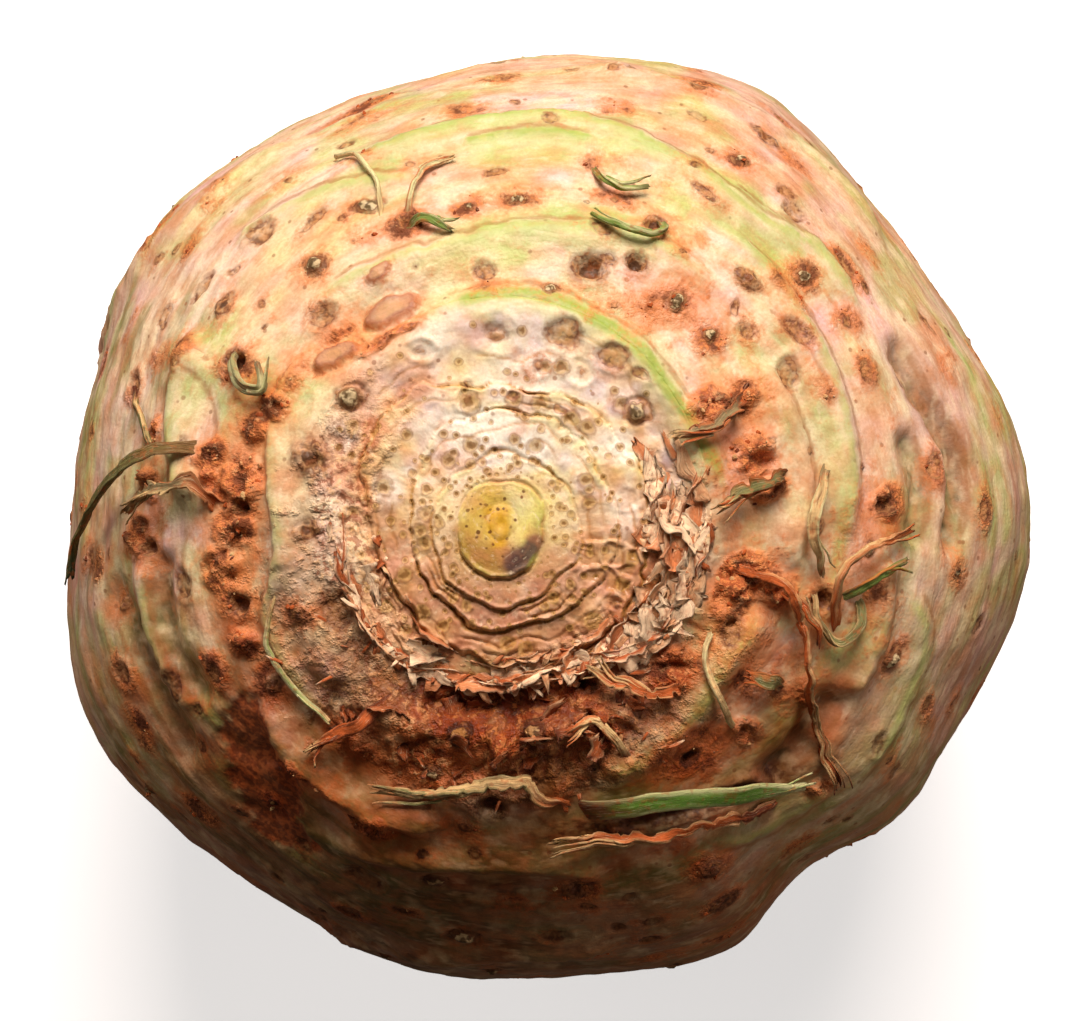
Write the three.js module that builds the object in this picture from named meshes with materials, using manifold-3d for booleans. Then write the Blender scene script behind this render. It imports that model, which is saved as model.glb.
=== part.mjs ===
// A celeriac root as it is sold: the swollen root of celery, its leaves cut away to a flat crown and its
// side roots trimmed off underneath. It grew as one piece, so it is one solid and one mesh.
//
// Millimetres, +Z up, with the growing point on top. The Z axis runs through the growing point, and the
// origin lies on it, in the plane of the trimmed flat spot that the root rests on.
//
// The skin is one function of two angles: a plump body of revolution with lobes, pressed flat at the crown,
// with relief raised from it by formula. The relief is the leaf bases that sit round each other in the
// crown like the layers of an onion, the ridges where older leaves grew, the folds and the root scars.
// Torn strips of leaf stalk, dry tags and trimmed root stubs are small solids sunk into it and fused.

import * as THREE from "three";
import { mergeVertices } from "three/addons/utils/BufferGeometryUtils.js";
import Module from "manifold-3d";

const wasm = await Module();
wasm.setup();

// ---------------------------------------------------------------------------------------------------------
// Driving dimensions
// ---------------------------------------------------------------------------------------------------------

const WIDEST_RADIUS = 60; // mean radius at the widest level
const WIDEST_HEIGHT = 50; // how high above the resting plane the root is widest
const SHOULDER_HEIGHT = 53; // from there up to where the rounded top would end
const UNDERSIDE_DEPTH = 52; // from there down to where the rounded bottom would end, past the trimming cut
const PLUMPNESS = 2.2; // exponent of the rounded section: 2 is an ellipse, more is squarer
const CROWN_HEIGHT = 101.5; // height of the cut leaf bases at the growing point
const CROWN_DOME = 1.0; // how much lower the cut is at the crown's edge
const CROWN_EDGE = 29; // radius where the flat crown has passed into the rounded shoulder
const CROWN_INNER = 23; // radius where it starts to
const LEAN = { toward: 8, amount: 5.5 }; // the root bulges to one side of its growing point (degrees, mm)

const SKIN_COLOUR = 0xe3cf9c;

// Bulges and hollows of the outline: bearing, half-width in degrees, and rise in mm.
const LOBES = [
  { bearing: 0, spread: 15, rise: 2.4 },
  { bearing: 33, spread: 15, rise: -1.9 },
  { bearing: 61, spread: 10, rise: 1.6 },
  { bearing: 94, spread: 18, rise: -1.6 },
  { bearing: 141, spread: 17, rise: 2.2 },
  { bearing: 206, spread: 20, rise: 4.2 },
  { bearing: 278, spread: 15, rise: -1.3 },
  { bearing: 297, spread: 8, rise: 0.8 },
  { bearing: 312, spread: 9, rise: -4.4 },
  { bearing: 337, spread: 12, rise: -0.9 },
];

// Edges of the leaf bases in the crown: radius at every 30 degrees of bearing, starting at +X.
const LEAF_BASE_EDGES = [
  { radii: [1.9, 2.2, 2.6, 2.9, 2.3, 1.9, 1.8, 1.7, 1.9, 2.0, 1.9, 1.8], level: 0.4 },
  { radii: [5.6, 5.6, 5.3, 4.8, 4.5, 4.3, 4.9, 5.8, 6.3, 6.7, 6.7, 6.5], level: 0.2 },
  { radii: [9.2, 9.0, 8.3, 7.9, 7.6, 7.4, 7.3, 7.9, 8.9, 9.6, 9.8, 9.4], level: 0.0 },
  { radii: [13.4, 13.2, 13.4, 13.3, 12.8, 11.6, 10.6, 11.2, 11.9, 11.9, 12.2, 13.0], level: -0.1 },
  { radii: [17.0, 17.4, 17.0, 15.8, 18.0, 18.0, 15.2, 14.6, 15.2, 16.2, 17.0, 18.0], level: -0.4 },
  { radii: [24.5, 25.0, 26.2, 26.7, 26.0, 24.0, 19.6, 19.6, 19.8, 18.7, 19.5, 23.5], level: -0.9 },
];
const CREVICE = { depth: 1.0, halfWidth: 0.55 }; // the gap between two leaf bases

// The crown stands clear of the shoulder on one side, as a torn edge with a drop beside it.
const DROP = { bearing: 268, spread: 62, depth: 3.2, width: 7 };

// Ridges where older leaves were attached, and folds between them: points in plan, from the growing point.
// rise is their height in mm; inside and outside are the half-widths of their two slopes.
const RIDGES = [
  {
    path: [[-9, 24.6], [0, 27], [7, 26], [15, 21.5], [20.5, 14.5], [24.5, 8], [27, 1]],
    rise: 1.4, inside: 2.6, outside: 1.4,
  },
  {
    path: [[-24, 25], [-16, 29.5], [-5, 33], [6, 35], [18, 33], [26, 27]],
    rise: 1.4, inside: 3.2, outside: 1.6,
  },
  {
    path: [[-24, 40], [-12, 46], [5, 49], [20, 44.5], [30, 37], [38, 32], [45, 22]],
    rise: 1.6, inside: 3.8, outside: 1.8,
  },
  { path: [[25, 36], [33, 28], [38, 20], [41, 8], [40, -3]], rise: 1.7, inside: 3.4, outside: 1.6 },
  { path: [[30, 20], [34.5, 11], [35.5, 3], [33.5, -6]], rise: 1.4, inside: 2.8, outside: 1.6 },
  { path: [[47, 24], [50.5, 17], [55.5, 9], [56, 2], [54, -5]], rise: -2.8, inside: 2.6, outside: 1.8 },
  { path: [[48, 12], [50.5, 5], [49.5, -3]], rise: -1.6, inside: 2.2, outside: 1.8 },
  {
    path: [[-22, 22], [-26, 14], [-26.5, 5], [-25.5, -3], [-27, -11], [-24, -18], [-19, -24]],
    rise: 1.3, inside: 2.0, outside: 1.4,
  },
  { path: [[-40.5, -2], [-41, -10], [-39, -17], [-34.5, -22]], rise: -1.9, inside: 2.4, outside: 1.8 },
  { path: [[-48.5, -6], [-45, -13], [-41, -22], [-36, -30]], rise: -1.5, inside: 2.6, outside: 2.6 },
  { path: [[-43.5, -4], [-42, -14], [-38, -23]], rise: 1.0, inside: 2.6, outside: 2.0 },
  { path: [[-29, -20], [-24, -27], [-17, -32.5], [-6, -36]], rise: 2.4, inside: 2.8, outside: 2.0 },
  { path: [[-22, -37.5], [-10, -40], [5, -40.5], [14, -42]], rise: 1.5, inside: 2.6, outside: 1.6 },
  {
    path: [[9, -29.5], [16, -27.5], [22, -22.5], [26, -16], [31, -9]],
    rise: 1.6, inside: 2.4, outside: 2.2,
  },
  { path: [[46, -3], [45, -12], [41, -21]], rise: 1.4, inside: 2.8, outside: 1.8 },
  { path: [[40, -19], [36, -26], [31, -31]], rise: -2.2, inside: 2.4, outside: 2.4 },
  { path: [[-54, 20], [-45, 33], [-33, 43], [-22, 49]], rise: 1.3, inside: 3.4, outside: 1.8 },
  { path: [[-37, 24], [-39, 12], [-37, 2]], rise: 1.6, inside: 3.0, outside: 1.6 },
  { path: [[-24, -50], [-4, -53], [16, -51]], rise: 1.5, inside: 2.8, outside: 1.8 },
  { path: [[8, 56.5], [24, 53], [38, 46], [48, 34]], rise: 1.2, inside: 2.8, outside: 1.8 },
];

// Hollow where the skin has browned and sunk.
const SUNKEN_PATCH = { at: [-29, -30], radius: 7, depth: 2.0 };

// Scars of roots. Some have rotted out to an open pit, some end in a low woody plug: plan position, radius.
const PITS = [
  [11.2, 30.2, 1.9], [16, 30.3, 1.3], [7.5, 22.3, 1.8], [-20.5, 24.2, 2.0],
  [34.8, 38.8, 1.6], [-30.3, 2.3, 1.5], [29, 23, 1.6], [34.3, 17.6, 1.7],
  [-28.6, 35.2, 1.7], [-31, -9.8, 1.6], [-1.2, -33, 1.7], [10, -18.4, 1.3],
];
const PLUGS = [
  [-17.5, 14.8, 1.6], [-22, 7.8, 2.0], [-22.5, -0.6, 1.7], [-23.7, -10.7, 1.6], [20.3, 26.2, 1.3],
  [24.4, 22.3, 1.3], [2, 38.3, 1.4], [-26.5, -18.6, 1.4], [-8.2, -29.2, 1.4], [22.2, -27.2, 1.3],
  [16, 13.4, 1.5], [26.4, -12, 1.8], [21, -1, 1.6], [3.9, -24.8, 1.3], [-38, -6.6, 1.6],
];
const SCAR_DEPTH = 1.3;
const PLUG_RISE = 0.8;

// Torn strips of leaf stalk and dry skin: a strip's width, and points in plan with their lift off the skin.
// The first point is the root end, sunk into the skin; the others hang free or end on it.
const STRIPS = [
  {
    name: "green stalk strip",
    width: 2.6,
    path: [
      [8.8, -33.9, -1.2], [12, -33, 0.9], [19, -31.6, 2.0],
      [28, -30.4, 2.2], [35.6, -30.5, 1.4],
    ],
  },
  {
    name: "rusty strip below it",
    width: 1.3,
    path: [
      [34.5, -33.2, -1.2], [29, -34.4, 0.7], [20, -35.6, 1.3],
      [12, -36.3, 1.4], [6.5, -36.6, 1.2],
    ],
  },
  {
    name: "bent pale strip",
    width: 1.5,
    path: [
      [9, -33.6, -1.0], [5, -31.2, 1.2], [0.8, -28.7, 2.0],
      [-4, -30.2, 1.5], [-9, -31.2, 1.2], [-14, -30, 1.6],
    ],
  },
  {
    name: "long rusty cord",
    width: 1.5,
    path: [
      [27.6, -4.9, -1.2], [31.5, -6.9, 1.8], [34.2, -11.5, 2.6],
      [35.2, -17.5, 2.6], [37.3, -23.5, 2.2], [39.8, -30.4, 1.1],
    ],
  },
  {
    name: "fork of the cord",
    width: 1.1,
    path: [[32.6, -7.6, 1.6], [34.8, -10, 2.4], [36.6, -13.4, 2.2]],
  },
  {
    name: "curl by the cord",
    width: 1.2,
    path: [[38.4, 7.1, -1.0], [36.6, 4, 1.6], [35.6, -0.5, 1.8], [37.6, -5.6, 0.9]],
  },
  {
    name: "pale hooked strip",
    width: 1.3,
    path: [
      [39.8, -13, -1.0], [38.6, -9.4, 2.2], [39, -4.6, 2.8],
      [43, -2.1, 2.4], [48.6, -0.7, 1.6],
    ],
  },
  {
    name: "short green strip",
    width: 1.2,
    path: [[39.6, -8.9, -1.0], [43, -6.2, 2.2], [46.7, -4, 2.4]],
  },
  {
    name: "low curl",
    width: 1.2,
    path: [
      [42.4, -8.2, -1.0], [41.8, -11.4, 1.3], [38.8, -13.5, 1.4],
      [36.4, -11, 1.2], [36.3, -8, 0.9],
    ],
  },
  {
    name: "split stalk flake",
    width: 1.9,
    path: [[29, 15.8, -1.1], [26.8, 13.5, 1.6], [23.8, 10.8, 1.6], [20.2, 10.1, 1.4]],
  },
  {
    name: "leafy flake",
    width: 2.4,
    path: [[33.4, 5.6, -1.1], [30.5, 5.0, 1.4], [28, 4, 1.7], [25.4, 2, 1.3]],
  },
  {
    name: "square chip",
    width: 1.8,
    path: [[33.6, -19.4, -1.0], [31.2, -18.2, 1.2], [28.4, -17.1, 1.3]],
  },
  {
    name: "thin thread",
    width: 0.9,
    path: [
      [28.4, -24.8, -0.9], [26.4, -22.5, 1.0], [24.6, -18.8, 1.2],
      [23.5, -15.5, 1.1], [24.4, -12.6, 0.9],
    ],
  },
  {
    name: "rusty roll",
    width: 1.6,
    path: [[21.8, -18.8, -1.2], [17.5, -19.4, 1.6], [13.4, -18.6, 2.2], [10.8, -17, 2.2]],
  },
  {
    name: "dry loop",
    width: 1.1,
    path: [[14.8, -27.2, -1.0], [13.2, -24.9, 1.8], [10.6, -22.8, 2.2], [7.6, -23.3, 1.8]],
  },
  {
    name: "woody stub",
    width: 1.9,
    path: [[-13, -20.9, -0.8], [-15.6, -22, 1.7], [-18.4, -23.6, 1.6], [-21.8, -25.7, 1.4]],
  },
  {
    name: "dark green stalk",
    width: 2.0,
    path: [
      [-35.4, 9.2, -1.0], [-38.8, 8.5, 2.0], [-43, 6.2, 2.6],
      [-47.4, 2.2, 2.8], [-50.2, -2.2, 2.6], [-51.6, -6.4, 2.0],
    ],
  },
  {
    name: "folded pale strip",
    width: 2.4,
    path: [[-33.4, 2.6, -1.0], [-35.6, 4.3, 2.0], [-39.4, 4, 2.6], [-43.4, 1.6, 1.8]],
  },
  {
    name: "pale curl",
    width: 1.4,
    path: [
      [-31.8, 20.3, -1.0], [-30.4, 18.2, 1.6], [-29.3, 15.9, 2.0],
      [-27.4, 15.6, 1.8], [-27.8, 18.4, 1.8],
    ],
  },
  {
    name: "twin tag, long side",
    width: 1.1,
    path: [[-11.3, 35.8, -1.0], [-10.4, 38.4, 1.2], [-9, 42, 1.2], [-4.6, 44.3, 0.9]],
  },
  {
    name: "twin tag, short side",
    width: 1.1,
    path: [[-11.5, 35.9, -1.0], [-8.6, 35.3, 1.2], [-5.4, 34, 0.9]],
  },
  {
    name: "green hook",
    width: 1.2,
    path: [[10.8, 43.7, -1.0], [12.2, 40.8, 1.1], [14.2, 39.2, 1.2], [17.2, 39.4, 1.1]],
  },
  {
    name: "green curl",
    width: 1.3,
    path: [
      [19, 36.2, -1.0], [19, 34.2, 1.3], [16.6, 33.2, 1.3],
      [13.4, 34.1, 1.2], [10.5, 36.4, 1.0],
    ],
  },
  {
    name: "thin green stem",
    width: 0.9,
    path: [[-45.6, 17.2, -0.9], [-43.4, 13.8, 1.1], [-41.6, 10.6, 1.3], [-39.4, 8.4, 1.4]],
  },
];
const STRIP_THICKNESS = 0.8;
const STRIP_STEP = 3.6; // length of one straight piece of a strip

const TAGS = { count: 20, fromBearing: 192, toBearing: 356, seed: 7 }; // dry torn edges round the crown
const ROOT_KNOBS = { count: 34, from: 104, to: 158, radius: 6.5, rise: 3.4, seed: 5 }; // underneath
const ROOT_STUBS = { count: 13, from: 114, to: 150, seed: 3 }; // trimmed side roots among them
const GOLDEN_TURN = 137.5; // degrees from one to the next, so that they spread evenly

// ---------------------------------------------------------------------------------------------------------
// Small helpers
// ---------------------------------------------------------------------------------------------------------

const DEGREE = Math.PI / 180;
const bell = (x) => Math.exp(-x * x);
const clamp01 = (x) => Math.min(1, Math.max(0, x));
const smooth = (from, to, x) => {
  const t = clamp01((x - from) / (to - from));
  return t * t * (3 - 2 * t);
};
const turnBetween = (a, b) => ((((a - b) % 360) + 540) % 360) - 180; // signed angle from b to a, in degrees

// A repeatable random number from 0 to 1, by a linear congruential rule.
function seeded(seed) {
  let state = seed >>> 0;
  return () => {
    state = (Math.imul(state, 1664525) + 1013904223) >>> 0;
    return state / 4294967296;
  };
}

// Value at a bearing of a ring given at equal steps: a periodic Catmull-Rom curve.
function ringValue(values, bearing) {
  const n = values.length;
  const at = ((((bearing % 360) + 360) % 360) / 360) * n;
  const i = Math.floor(at);
  const t = at - i;
  const [a, b, c, d] = [-1, 0, 1, 2].map((k) => values[(i + k + n) % n]);
  return b + 0.5 * t * (c - a + t * (2 * a - 5 * b + 4 * c - d + t * (3 * (b - c) + d - a)));
}

// ---------------------------------------------------------------------------------------------------------
// The plain body: where the skin would be without relief
// ---------------------------------------------------------------------------------------------------------

// Radius of the outline at a bearing; share is 1 at the widest level and falls to 0 at the growing point.
function outline(bearing, share) {
  const lobeRise = (lobe) => lobe.rise * bell(turnBetween(bearing, lobe.bearing) / lobe.spread);
  const lobes = LOBES.reduce((sum, lobe) => sum + lobeRise(lobe), 0);
  return WIDEST_RADIUS + LEAN.amount * Math.cos((bearing - LEAN.toward) * DEGREE) + lobes * share;
}

// A point of the plain body. polar is 0 at the growing point and 180 in the middle of the underside.
function plainPoint(polar, bearing) {
  const s = Math.sin(polar * DEGREE);
  const c = Math.cos(polar * DEGREE);
  const radius = outline(bearing, s * s) * Math.pow(s, 2 / PLUMPNESS);
  const depth = c > 0 ? SHOULDER_HEIGHT : -UNDERSIDE_DEPTH;
  let z = WIDEST_HEIGHT + depth * Math.pow(Math.abs(c), 2 / PLUMPNESS);
  if (polar < 90) {
    const flat = CROWN_HEIGHT - CROWN_DOME * (radius / CROWN_EDGE) ** 2;
    z += (flat - z) * smooth(CROWN_EDGE, CROWN_INNER, radius);
  }
  return new THREE.Vector3(radius * Math.cos(bearing * DEGREE), radius * Math.sin(bearing * DEGREE), z);
}

// Outward normal of the plain body, from two short steps along it.
function plainNormal(polar, bearing) {
  const step = 0.5;
  const p = Math.min(Math.max(polar, 2), 178);
  const down = plainPoint(p + step, bearing).sub(plainPoint(p - step, bearing));
  const round = plainPoint(p, bearing + step).sub(plainPoint(p, bearing - step));
  return down.cross(round).normalize();
}

// The polar angle at which the upper half lies at a plan radius, by halving.
function polarAt(radius, bearing) {
  let low = 0;
  let high = 89.5;
  for (let i = 0; i < 30; i++) {
    const middle = (low + high) / 2;
    if (Math.hypot(...plainPoint(middle, bearing).toArray().slice(0, 2)) < radius) low = middle;
    else high = middle;
  }
  return low;
}

const bearingOf = (x, y) => (Math.atan2(y, x) / DEGREE + 360) % 360;

// Point and normal of the plain body above a plan position.
function above(x, y) {
  const bearing = bearingOf(x, y);
  const polar = polarAt(Math.hypot(x, y), bearing);
  return { point: plainPoint(polar, bearing), normal: plainNormal(polar, bearing), polar, bearing };
}

// ---------------------------------------------------------------------------------------------------------
// Relief: how far the skin stands off the plain body
// ---------------------------------------------------------------------------------------------------------

const edgeRadius = (edge, bearing) => ringValue(edge.radii, bearing);

// The crown's leaf bases: each is a low cushion between two edges, with a crevice at its outer edge.
function leafBaseRelief(radius, bearing) {
  let inner = 0;
  let relief = 0;
  for (const edge of LEAF_BASE_EDGES) {
    const outer = edgeRadius(edge, bearing);
    if (radius >= inner && radius < outer) {
      const across = (radius - inner) / (outer - inner);
      relief += edge.level + 0.35 * Math.sin(Math.PI * across);
    }
    relief -= CREVICE.depth * bell((radius - outer) / CREVICE.halfWidth);
    inner = outer;
  }
  return relief;
}

// The drop beside the crown's torn edge.
function dropRelief(radius, bearing) {
  const rim = edgeRadius(LEAF_BASE_EDGES.at(-1), bearing);
  const share = bell(turnBetween(bearing, DROP.bearing) / DROP.spread);
  return -DROP.depth * share * smooth(rim, rim + 1.2, radius) * smooth(rim + DROP.width, rim + 2.5, radius);
}

const RIDGE_LINES = RIDGES.map((ridge) => {
  const onSkin = ridge.path.map(([x, y]) => above(x, y).point);
  return { ...ridge, points: new THREE.CatmullRomCurve3(onSkin).getSpacedPoints(ridge.path.length * 8) };
});

// A ridge or fold: full height along its line, fading over its last few millimetres at both ends.
function ridgeRelief(point) {
  const radius = Math.hypot(point.x, point.y);
  let relief = 0;
  for (const ridge of RIDGE_LINES) {
    let nearest = Infinity;
    let index = 0;
    ridge.points.forEach((p, i) => {
      const d = p.distanceTo(point);
      if (d < nearest) [nearest, index] = [d, i];
    });
    if (nearest > 12) continue;
    const line = ridge.points[index];
    const width = radius < Math.hypot(line.x, line.y) ? ridge.inside : ridge.outside;
    const along = index / (ridge.points.length - 1);
    relief += ridge.rise * bell(nearest / width) * smooth(0, 0.15, along) * smooth(1, 0.85, along);
  }
  return relief;
}

// Soft lumps all over, as a sum of a few waves.
function lumpRelief(p, polar) {
  const waves =
    Math.sin(p.x * 0.11 + p.y * 0.05 + 1.3) * Math.cos(p.z * 0.1 - p.y * 0.07) +
    0.6 * Math.sin(p.y * 0.19 - p.z * 0.12 + 0.4) * Math.cos(p.x * 0.17 + 2.1) +
    0.4 * Math.sin(p.x * 0.31 + p.z * 0.27) * Math.sin(p.y * 0.29 + 0.8);
  return waves * (0.35 * smooth(20, 60, polar) + 0.9 * smooth(95, 130, polar));
}

const randomKnob = seeded(ROOT_KNOBS.seed);
const KNOBS = Array.from({ length: ROOT_KNOBS.count }, (_, i) => {
  const polar = ROOT_KNOBS.from + ((ROOT_KNOBS.to - ROOT_KNOBS.from) * (i + 0.5)) / ROOT_KNOBS.count;
  const size = 0.6 + 0.6 * randomKnob();
  return { point: plainPoint(polar, i * GOLDEN_TURN + 24 * randomKnob()), size };
});

// The swollen bases of the side roots underneath: rounded knobs with furrows between them.
function knobRelief(point, polar) {
  const heights = KNOBS.map((knob) => {
    const share = point.distanceTo(knob.point) / (knob.size * ROOT_KNOBS.radius);
    return knob.size * bell(share ** 1.5);
  });
  return (Math.max(...heights) - 0.3) * ROOT_KNOBS.rise * smooth(96, 112, polar) * smooth(172, 152, polar);
}

const patchPoint = above(...SUNKEN_PATCH.at).point;

// A point of the finished skin.
function skinPoint(polar, bearing) {
  const point = plainPoint(polar, bearing);
  const radius = Math.hypot(point.x, point.y);
  let relief = (lumpRelief(point, polar) + knobRelief(point, polar)) * smooth(176, 160, polar);
  if (polar < 100) {
    relief += ridgeRelief(point);
    relief -= SUNKEN_PATCH.depth * bell(point.distanceTo(patchPoint) / SUNKEN_PATCH.radius);
    if (radius < 40) relief += leafBaseRelief(radius, bearing) + dropRelief(radius, bearing);
  }
  return point.addScaledVector(plainNormal(polar, bearing), relief);
}

// ---------------------------------------------------------------------------------------------------------
// The skin as a closed mesh: rings of points from the growing point down to the underside
// ---------------------------------------------------------------------------------------------------------

const FINE = 80; // points round a ring
const COARSE = 40; // and near the two poles

// Each row gives the polar angle at a bearing. In the crown the rows follow the leaf bases' edges.
function skinRows() {
  const rows = [];
  const onEdges = (inner, outer, share) => (bearing) => {
    const from = inner ? edgeRadius(inner, bearing) : 0;
    const to = edgeRadius(outer, bearing);
    return polarAt(from + (to - from) * share, bearing);
  };
  LEAF_BASE_EDGES.forEach((edge, i) => {
    const inner = LEAF_BASE_EDGES[i - 1];
    const columns = i < 4 ? COARSE : FINE;
    if (i === 0) rows.push({ columns, polar: onEdges(inner, edge, 0.6) });
    else [0.16, 0.5, 0.84].forEach((share) => rows.push({ columns, polar: onEdges(inner, edge, share) }));
    rows.push({ columns, polar: onEdges(inner, edge, 1) });
  });
  const shoulderRows = 18;
  for (let i = 1; i <= shoulderRows; i++) {
    const share = i / shoulderRows;
    rows.push({
      columns: FINE,
      polar: (bearing) => {
        const start = polarAt(edgeRadius(LEAF_BASE_EDGES.at(-1), bearing), bearing);
        return start + (90 - start) * share ** 0.85;
      },
    });
  }
  for (let polar = 96; polar <= 144; polar += 6) rows.push({ columns: FINE, polar: () => polar });
  for (let polar = 150; polar <= 176; polar += 5) rows.push({ columns: COARSE, polar: () => polar });
  return rows;
}

// Triangles between two rings, where one may have twice the other's points.
function stitch(upper, lower, faces) {
  const [n, m] = [upper.length, lower.length];
  for (let j = 0; j < Math.min(n, m); j++) {
    const k = (j + 1) % Math.min(n, m);
    if (n === m) faces.push([upper[j], lower[j], lower[k]], [upper[j], lower[k], upper[k]]);
    else if (n < m) {
      const [a, b, c] = [lower[2 * j], lower[2 * j + 1], lower[(2 * j + 2) % m]];
      faces.push([upper[j], a, b], [upper[j], b, upper[k]], [upper[k], b, c]);
    } else {
      const [a, b, c] = [upper[2 * j], upper[2 * j + 1], upper[(2 * j + 2) % n]];
      faces.push([a, lower[j], b], [b, lower[j], lower[k]], [b, lower[k], c]);
    }
  }
}

function skinGeometry() {
  const points = [skinPoint(0, 0)];
  const faces = [];
  let previous = null;
  for (const row of skinRows()) {
    const ring = [];
    for (let j = 0; j < row.columns; j++) {
      const bearing = (j * 360) / row.columns;
      ring.push(points.push(skinPoint(row.polar(bearing), bearing)) - 1);
    }
    if (previous) stitch(previous, ring, faces);
    else ring.forEach((v, j) => faces.push([0, v, ring[(j + 1) % ring.length]]));
    previous = ring;
  }
  const bottom = points.push(skinPoint(180, 0)) - 1;
  previous.forEach((v, j) => faces.push([bottom, previous[(j + 1) % previous.length], v]));
  return geometryOf(points, faces);
}

function geometryOf(points, faces) {
  const geometry = new THREE.BufferGeometry();
  const places = points.flatMap((p) => p.toArray());
  geometry.setAttribute("position", new THREE.Float32BufferAttribute(places, 3));
  geometry.setIndex(faces.flat());
  return geometry;
}

// ---------------------------------------------------------------------------------------------------------
// Small pieces that are fused to the skin
// ---------------------------------------------------------------------------------------------------------

// Point, and frame, above the finished skin: z is the skin's normal.
function lifted(x, y, lift) {
  const { normal, polar, bearing } = above(x, y);
  return { point: skinPoint(polar, bearing).addScaledVector(normal, lift), normal };
}

// A loft through four-sided sections, closed at both ends.
function loft(sections) {
  const points = sections.flat();
  const faces = [[0, 2, 1], [0, 3, 2]];
  for (let i = 0; i + 1 < sections.length; i++) {
    for (let j = 0; j < 4; j++) {
      const [a, b] = [i * 4 + j, i * 4 + ((j + 1) % 4)];
      faces.push([a, b, b + 4], [a, b + 4, a + 4]);
    }
  }
  const last = points.length - 4;
  faces.push([last, last + 1, last + 2], [last, last + 2, last + 3]);
  return geometryOf(points, faces);
}

// A strip lies along its path, flat side away from the skin, and narrows a little at its free end.
function stripGeometry({ path, width }) {
  const lifts = path.map(([x, y, lift]) => lifted(x, y, lift));
  const curve = new THREE.CatmullRomCurve3(lifts.map((l) => l.point));
  const steps = Math.max(3, Math.round(curve.getLength() / STRIP_STEP));
  const sections = [];
  for (let i = 0; i <= steps; i++) {
    const share = i / steps;
    const centre = curve.getPoint(share);
    const tangent = curve.getTangent(share);
    const normal = lifts[Math.round(share * (lifts.length - 1))].normal;
    const side = normal.clone().cross(tangent).normalize();
    const up = tangent.clone().cross(side).normalize();
    const half = (width / 2) * (1 - 0.35 * smooth(0.7, 1, share));
    const corner = (s, u) =>
      centre.clone().addScaledVector(side, s * half).addScaledVector(up, (u * STRIP_THICKNESS) / 2);
    sections.push([corner(-1, -1), corner(1, -1), corner(1, 1), corner(-1, 1)]);
  }
  return loft(sections);
}

// A dry tag: a thin tapering blade that stands out of a leaf base's torn edge and leans outwards.
function tagGeometry(bearing, radius, height, width, leanOut) {
  const [x, y] = [radius * Math.cos(bearing * DEGREE), radius * Math.sin(bearing * DEGREE)];
  const foot = lifted(x, y, 0).point;
  const out = new THREE.Vector3(Math.cos(bearing * DEGREE), Math.sin(bearing * DEGREE), 0);
  const along = new THREE.Vector3(-out.y, out.x, 0);
  const up = new THREE.Vector3(0, 0, 1).addScaledVector(out, leanOut).normalize();
  const thin = up.clone().cross(along).normalize();
  const section = (rise, half, thickness) => {
    const centre = foot.clone().addScaledVector(up, rise);
    const corner = (a, t) =>
      centre.clone().addScaledVector(along, a * half).addScaledVector(thin, (t * thickness) / 2);
    return [corner(-1, -1), corner(1, -1), corner(1, 1), corner(-1, 1)];
  };
  return loft([section(-1.6, width / 2, 1.2), section(height, width * 0.22, 0.7)]);
}

function tagGeometries() {
  const random = seeded(TAGS.seed);
  return Array.from({ length: TAGS.count }, (_, i) => {
    const edge = LEAF_BASE_EDGES[4 + (i % 2)];
    const step = (TAGS.toBearing - TAGS.fromBearing) / TAGS.count;
    const bearing = TAGS.fromBearing + step * (i + 1.4 * random());
    const radius = edgeRadius(edge, bearing) - 0.6 - 1.2 * random();
    const height = 0.7 + 1.5 * random() ** 2;
    const width = 2.0 + 3.5 * random();
    return tagGeometry(bearing, radius, height, width, 0.3 + 1.4 * random());
  });
}

// A short round piece standing along the skin's normal, from depth under the skin to rise above it.
function roundPiece(x, y, topRadius, footRadius, rise, depth) {
  const { point, normal } = lifted(x, y, 0);
  const piece = new THREE.CylinderGeometry(topRadius, footRadius, rise + depth, 6);
  piece.translate(0, (rise - depth) / 2, 0);
  piece.applyQuaternion(new THREE.Quaternion().setFromUnitVectors(new THREE.Vector3(0, 1, 0), normal));
  return piece.translate(point.x, point.y, point.z);
}

const pitGeometry = ([x, y, radius]) => roundPiece(x, y, radius * 1.4, radius * 0.6, 1.2, SCAR_DEPTH);
const plugGeometry = ([x, y, radius]) => roundPiece(x, y, radius * 0.7, radius * 1.25, PLUG_RISE, 1.0);

// A trimmed side root: a short tapering stub that leans downwards, cut square.
function stubGeometry(polar, bearing, radius, length) {
  const axis = plainNormal(polar, bearing).addScaledVector(new THREE.Vector3(0, 0, -1), 0.35).normalize();
  const stub = new THREE.CylinderGeometry(radius * 0.7, radius * 1.5, length + 6, 7);
  stub.translate(0, (length - 6) / 2, 0);
  stub.applyQuaternion(new THREE.Quaternion().setFromUnitVectors(new THREE.Vector3(0, 1, 0), axis));
  const foot = skinPoint(polar, bearing);
  return stub.translate(foot.x, foot.y, foot.z);
}

function stubGeometries() {
  const random = seeded(ROOT_STUBS.seed);
  return Array.from({ length: ROOT_STUBS.count }, (_, i) => {
    const polar = ROOT_STUBS.from + ((ROOT_STUBS.to - ROOT_STUBS.from) * (i + 0.5)) / ROOT_STUBS.count;
    const bearing = i * GOLDEN_TURN + 30 * random();
    return stubGeometry(polar, bearing, 2.2 + 2.0 * random(), 0.6 + 1.8 * random());
  });
}

// ---------------------------------------------------------------------------------------------------------
// Joining, and the trimming cut that the root rests on
// ---------------------------------------------------------------------------------------------------------

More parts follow.
